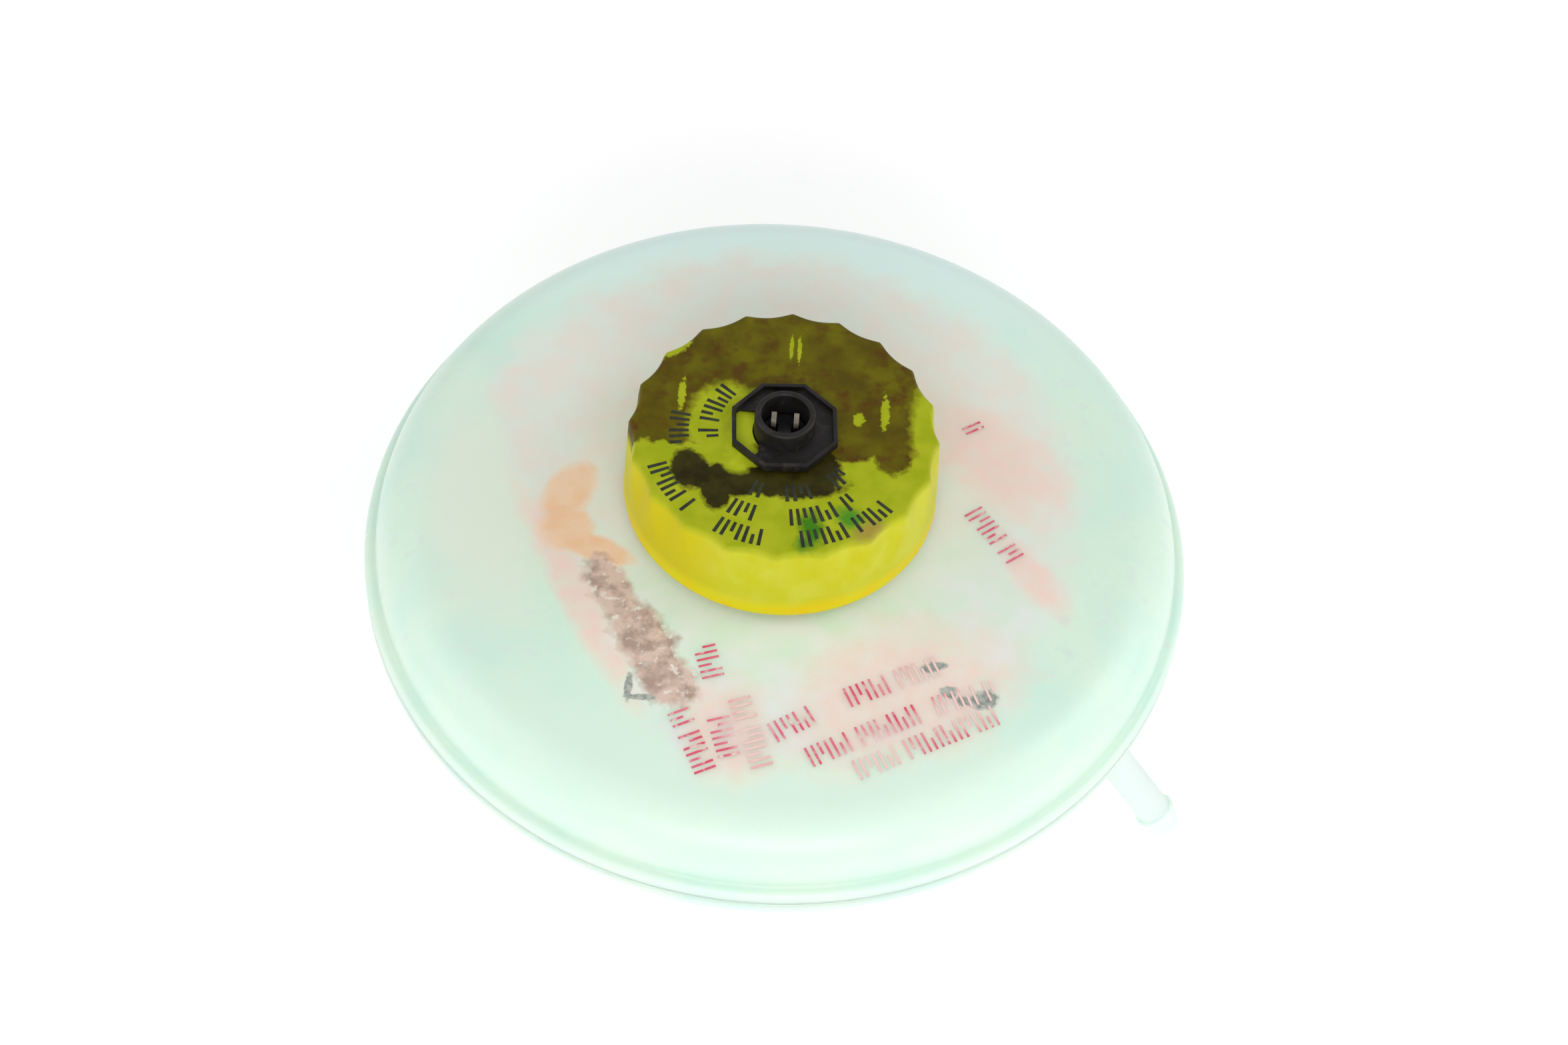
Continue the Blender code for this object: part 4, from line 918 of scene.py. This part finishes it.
# Guide stem.
# A closed tube of black nylon is pressed up into the head's barrel. It keeps the reed switch dry, guides
# the float, and carries the ring that stops the float at the top.
stem_bore = 1.9
stem_radius = 3.2
stop_radius = 5.2
clip_groove = 2.7
stem_section = [(stem_bore, 19.9), (stem_bore, 67.75), (3.0, 67.75), (stem_radius, 67.5)]
stem_section += [(stem_radius, 59.3), (3.4, 59.15), (stop_radius - 0.3, 59.15), (stop_radius, 58.85)]
stem_section += [(stop_radius, 57.95), (stop_radius - 0.3, 57.65), (3.4, 57.65), (stem_radius, 57.5)]
stem_section += [(stem_radius, 21.3), (clip_groove, 21.3), (clip_groove, 19.7), (stem_radius, 19.7)]
stem_section += [(stem_radius, 19.3), *arc(2.6, 19.1, 0.6, 0, -80, 4)]
stem = smooth(turned("black_stem", stem_section, sides=72, capped=True))
wear(stem, black_nylon)
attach(stem, "sensor_unit")
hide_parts("guide_stem")

# Reed switch and its leads.
# The switch is a glass tube with two flat reeds sealed in, and its tinned copper leads run up the stem to
# the blades. It all stands inside the closed stem.
reed_glass, glass_shader = new_finish("reed_glass", Roughness=0.06, IOR=1.5, Transmission_Weight=0.85)
glass_vector = add_node(reed_glass, "ShaderNodeTexCoord").outputs["Object"]
glass_colour = tint(reed_glass, "#BBDCC4", mottling(reed_glass, glass_vector, 2), "#CFE6D4")
finish_colour(reed_glass, glass_shader, glass_colour)
tinned_copper = soft_spots("tinned_copper", "#B9997C", "#C9B29A", 0.6, 0.004, Roughness=0.34,
                           Metallic=1.0)
wear(nodes["reed_switch"], reed_glass)
wear(nodes["reed_lead_lower"], tinned_copper)
wear(nodes["reed_lead_upper"], tinned_copper)

# Float.
# A ring of closed-cell foam, moulded with a sleeve that slides on the stem. A ring magnet lies in a pocket
# in its top, under a pressed-in nylon cover.
float_section = arc(9.5, 33.3, 2.0, 90, 0, 8) + arc(9.5, 23.3, 2.0, 0, -90, 8)
float_section += [(3.95, 21.3), (3.7, 21.55), (3.7, 35.05), (3.95, 35.3)]
float_section += [(4.5, 35.3), (4.5, 29.7), (7.7, 29.7), (7.7, 35.3)]
foam_float = smooth(turned("foam_float", float_section, sides=120))
# Foamed nitrile: matt and dark brown, with fine closed pores about 0.5 mm across.
foam, foam_shader = new_finish("closed_cell_foam", Roughness=0.85)
foam_vector = add_node(foam, "ShaderNodeTexCoord").outputs["Object"]
pores = add_node(foam, "ShaderNodeTexVoronoi", Vector=foam_vector, Scale=1 / (0.5 * MM))
pore_walls = add_node(foam, "ShaderNodeMapRange", Value=pores.outputs["Distance"], From_Min=0.2,
                      From_Max=0.6)
foam_colour = tint(foam, "#332E2A", mottling(foam, foam_vector, 4), "#3E3833")
# The pore hollows are painted darker: painted shade in them.
finish_colour(foam, foam_shader, tint(foam, "#241F1C", pore_walls.outputs[0], foam_colour))
pore_relief = add_node(foam, "ShaderNodeBump", Height=pore_walls.outputs[0], Distance=0.1 * MM,
                       Strength=1.0)
foam.node_tree.links.new(pore_relief.outputs[0], foam_shader.inputs["Normal"])
wear(foam_float, foam)
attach(foam_float, "float_unit")
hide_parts("float")
# Sintered ferrite is matt and charcoal grey. The cover is the strainer's nylon.
ferrite = soft_spots("sintered_ferrite", "#35363A", "#45464A", 0.5, 0.01, Roughness=0.62)
wear(nodes["float_magnet"], ferrite)
wear(nodes["magnet_cover"], natural_nylon)

# Camera.
# It looks down at about 54 degrees from the front, as the photograph does. The frame is the photograph's,
# 2352 x 1568, and the object fills about half its width.
image_width = 2352
image_height = 1568
focal_pixels = 4437.7
target_pixel = (1163.2, 827.0)
elevation = math.radians(54.07)
roll = math.radians(4.22)
sensor_width = 36.0
target = Vector((0, 0, 0.0386))
back = Vector((0, -math.cos(elevation), math.sin(elevation)))
bpy.ops.object.camera_add(location=target + 0.5 * back)
camera = bpy.context.object
camera.name = "photo_camera"
camera.rotation_mode = "QUATERNION"
camera.rotation_quaternion = (back.to_track_quat("Z", "Y").to_matrix()
                              @ Matrix.Rotation(roll, 3, "Z")).to_quaternion()
camera.data.sensor_width = sensor_width
camera.data.lens = focal_pixels / image_width * sensor_width
camera.data.shift_x = (image_width / 2 - target_pixel[0]) / image_width
camera.data.shift_y = (target_pixel[1] - image_height / 2) / image_width
bpy.context.scene.camera = camera

# Floor and light.
# A plain white floor lies just under the lugs. White light comes from all round, and three large
# softboxes are mirrored on the shoulder in front and at both sides.
floor_level = -16.05
bpy.ops.object.select_all(action="DESELECT")
bpy.ops.mesh.primitive_plane_add(size=6, location=(0, 0, floor_level * MM))
floor = bpy.context.object
floor.name = "studio_floor"
white, white_shader = new_finish("white_floor", Roughness=0.9)
white_shader.inputs["Base Color"].default_value = linear("#FAFAFA")
white_shader.inputs["Emission Color"].default_value = (1, 1, 1, 1)
white_shader.inputs["Emission Strength"].default_value = 0.2
wear(floor, white)
floor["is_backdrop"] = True
world = bpy.data.worlds.new("studio")
world.use_nodes = True
background = world.node_tree.nodes["Background"]
background.inputs["Color"].default_value = (1, 1, 1, 1)
background.inputs["Strength"].default_value = 0.6
bpy.context.scene.world = world
bpy.context.scene.view_settings.view_transform = "Standard"
# Each softbox has its place, width and depth in metres, and its power in watts.
softboxes = (("front_softbox", (0.05, -0.75, 0.55), 0.7, 0.35, 3.5),
             ("left_softbox", (-0.8, 0.0, 0.5), 0.35, 0.8, 1.3),
             ("right_softbox", (0.8, 0.1, 0.5), 0.35, 0.8, 2.0))
for name, place_at, width, depth, power in softboxes:
    light = bpy.data.lights.new(name, "AREA")
    light.shape = "RECTANGLE"
    light.size = width
    light.size_y = depth
    light.energy = power
    softbox = bpy.data.objects.new(name, light)
    softbox.location = place_at
    softbox.rotation_mode = "QUATERNION"
    softbox.rotation_quaternion = Vector(place_at).to_track_quat("Z", "Y")
    bpy.context.scene.collection.objects.link(softbox)

size = {"cad": [list(cad_low), list(cad_high)], "visual": [list(v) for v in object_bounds()]}
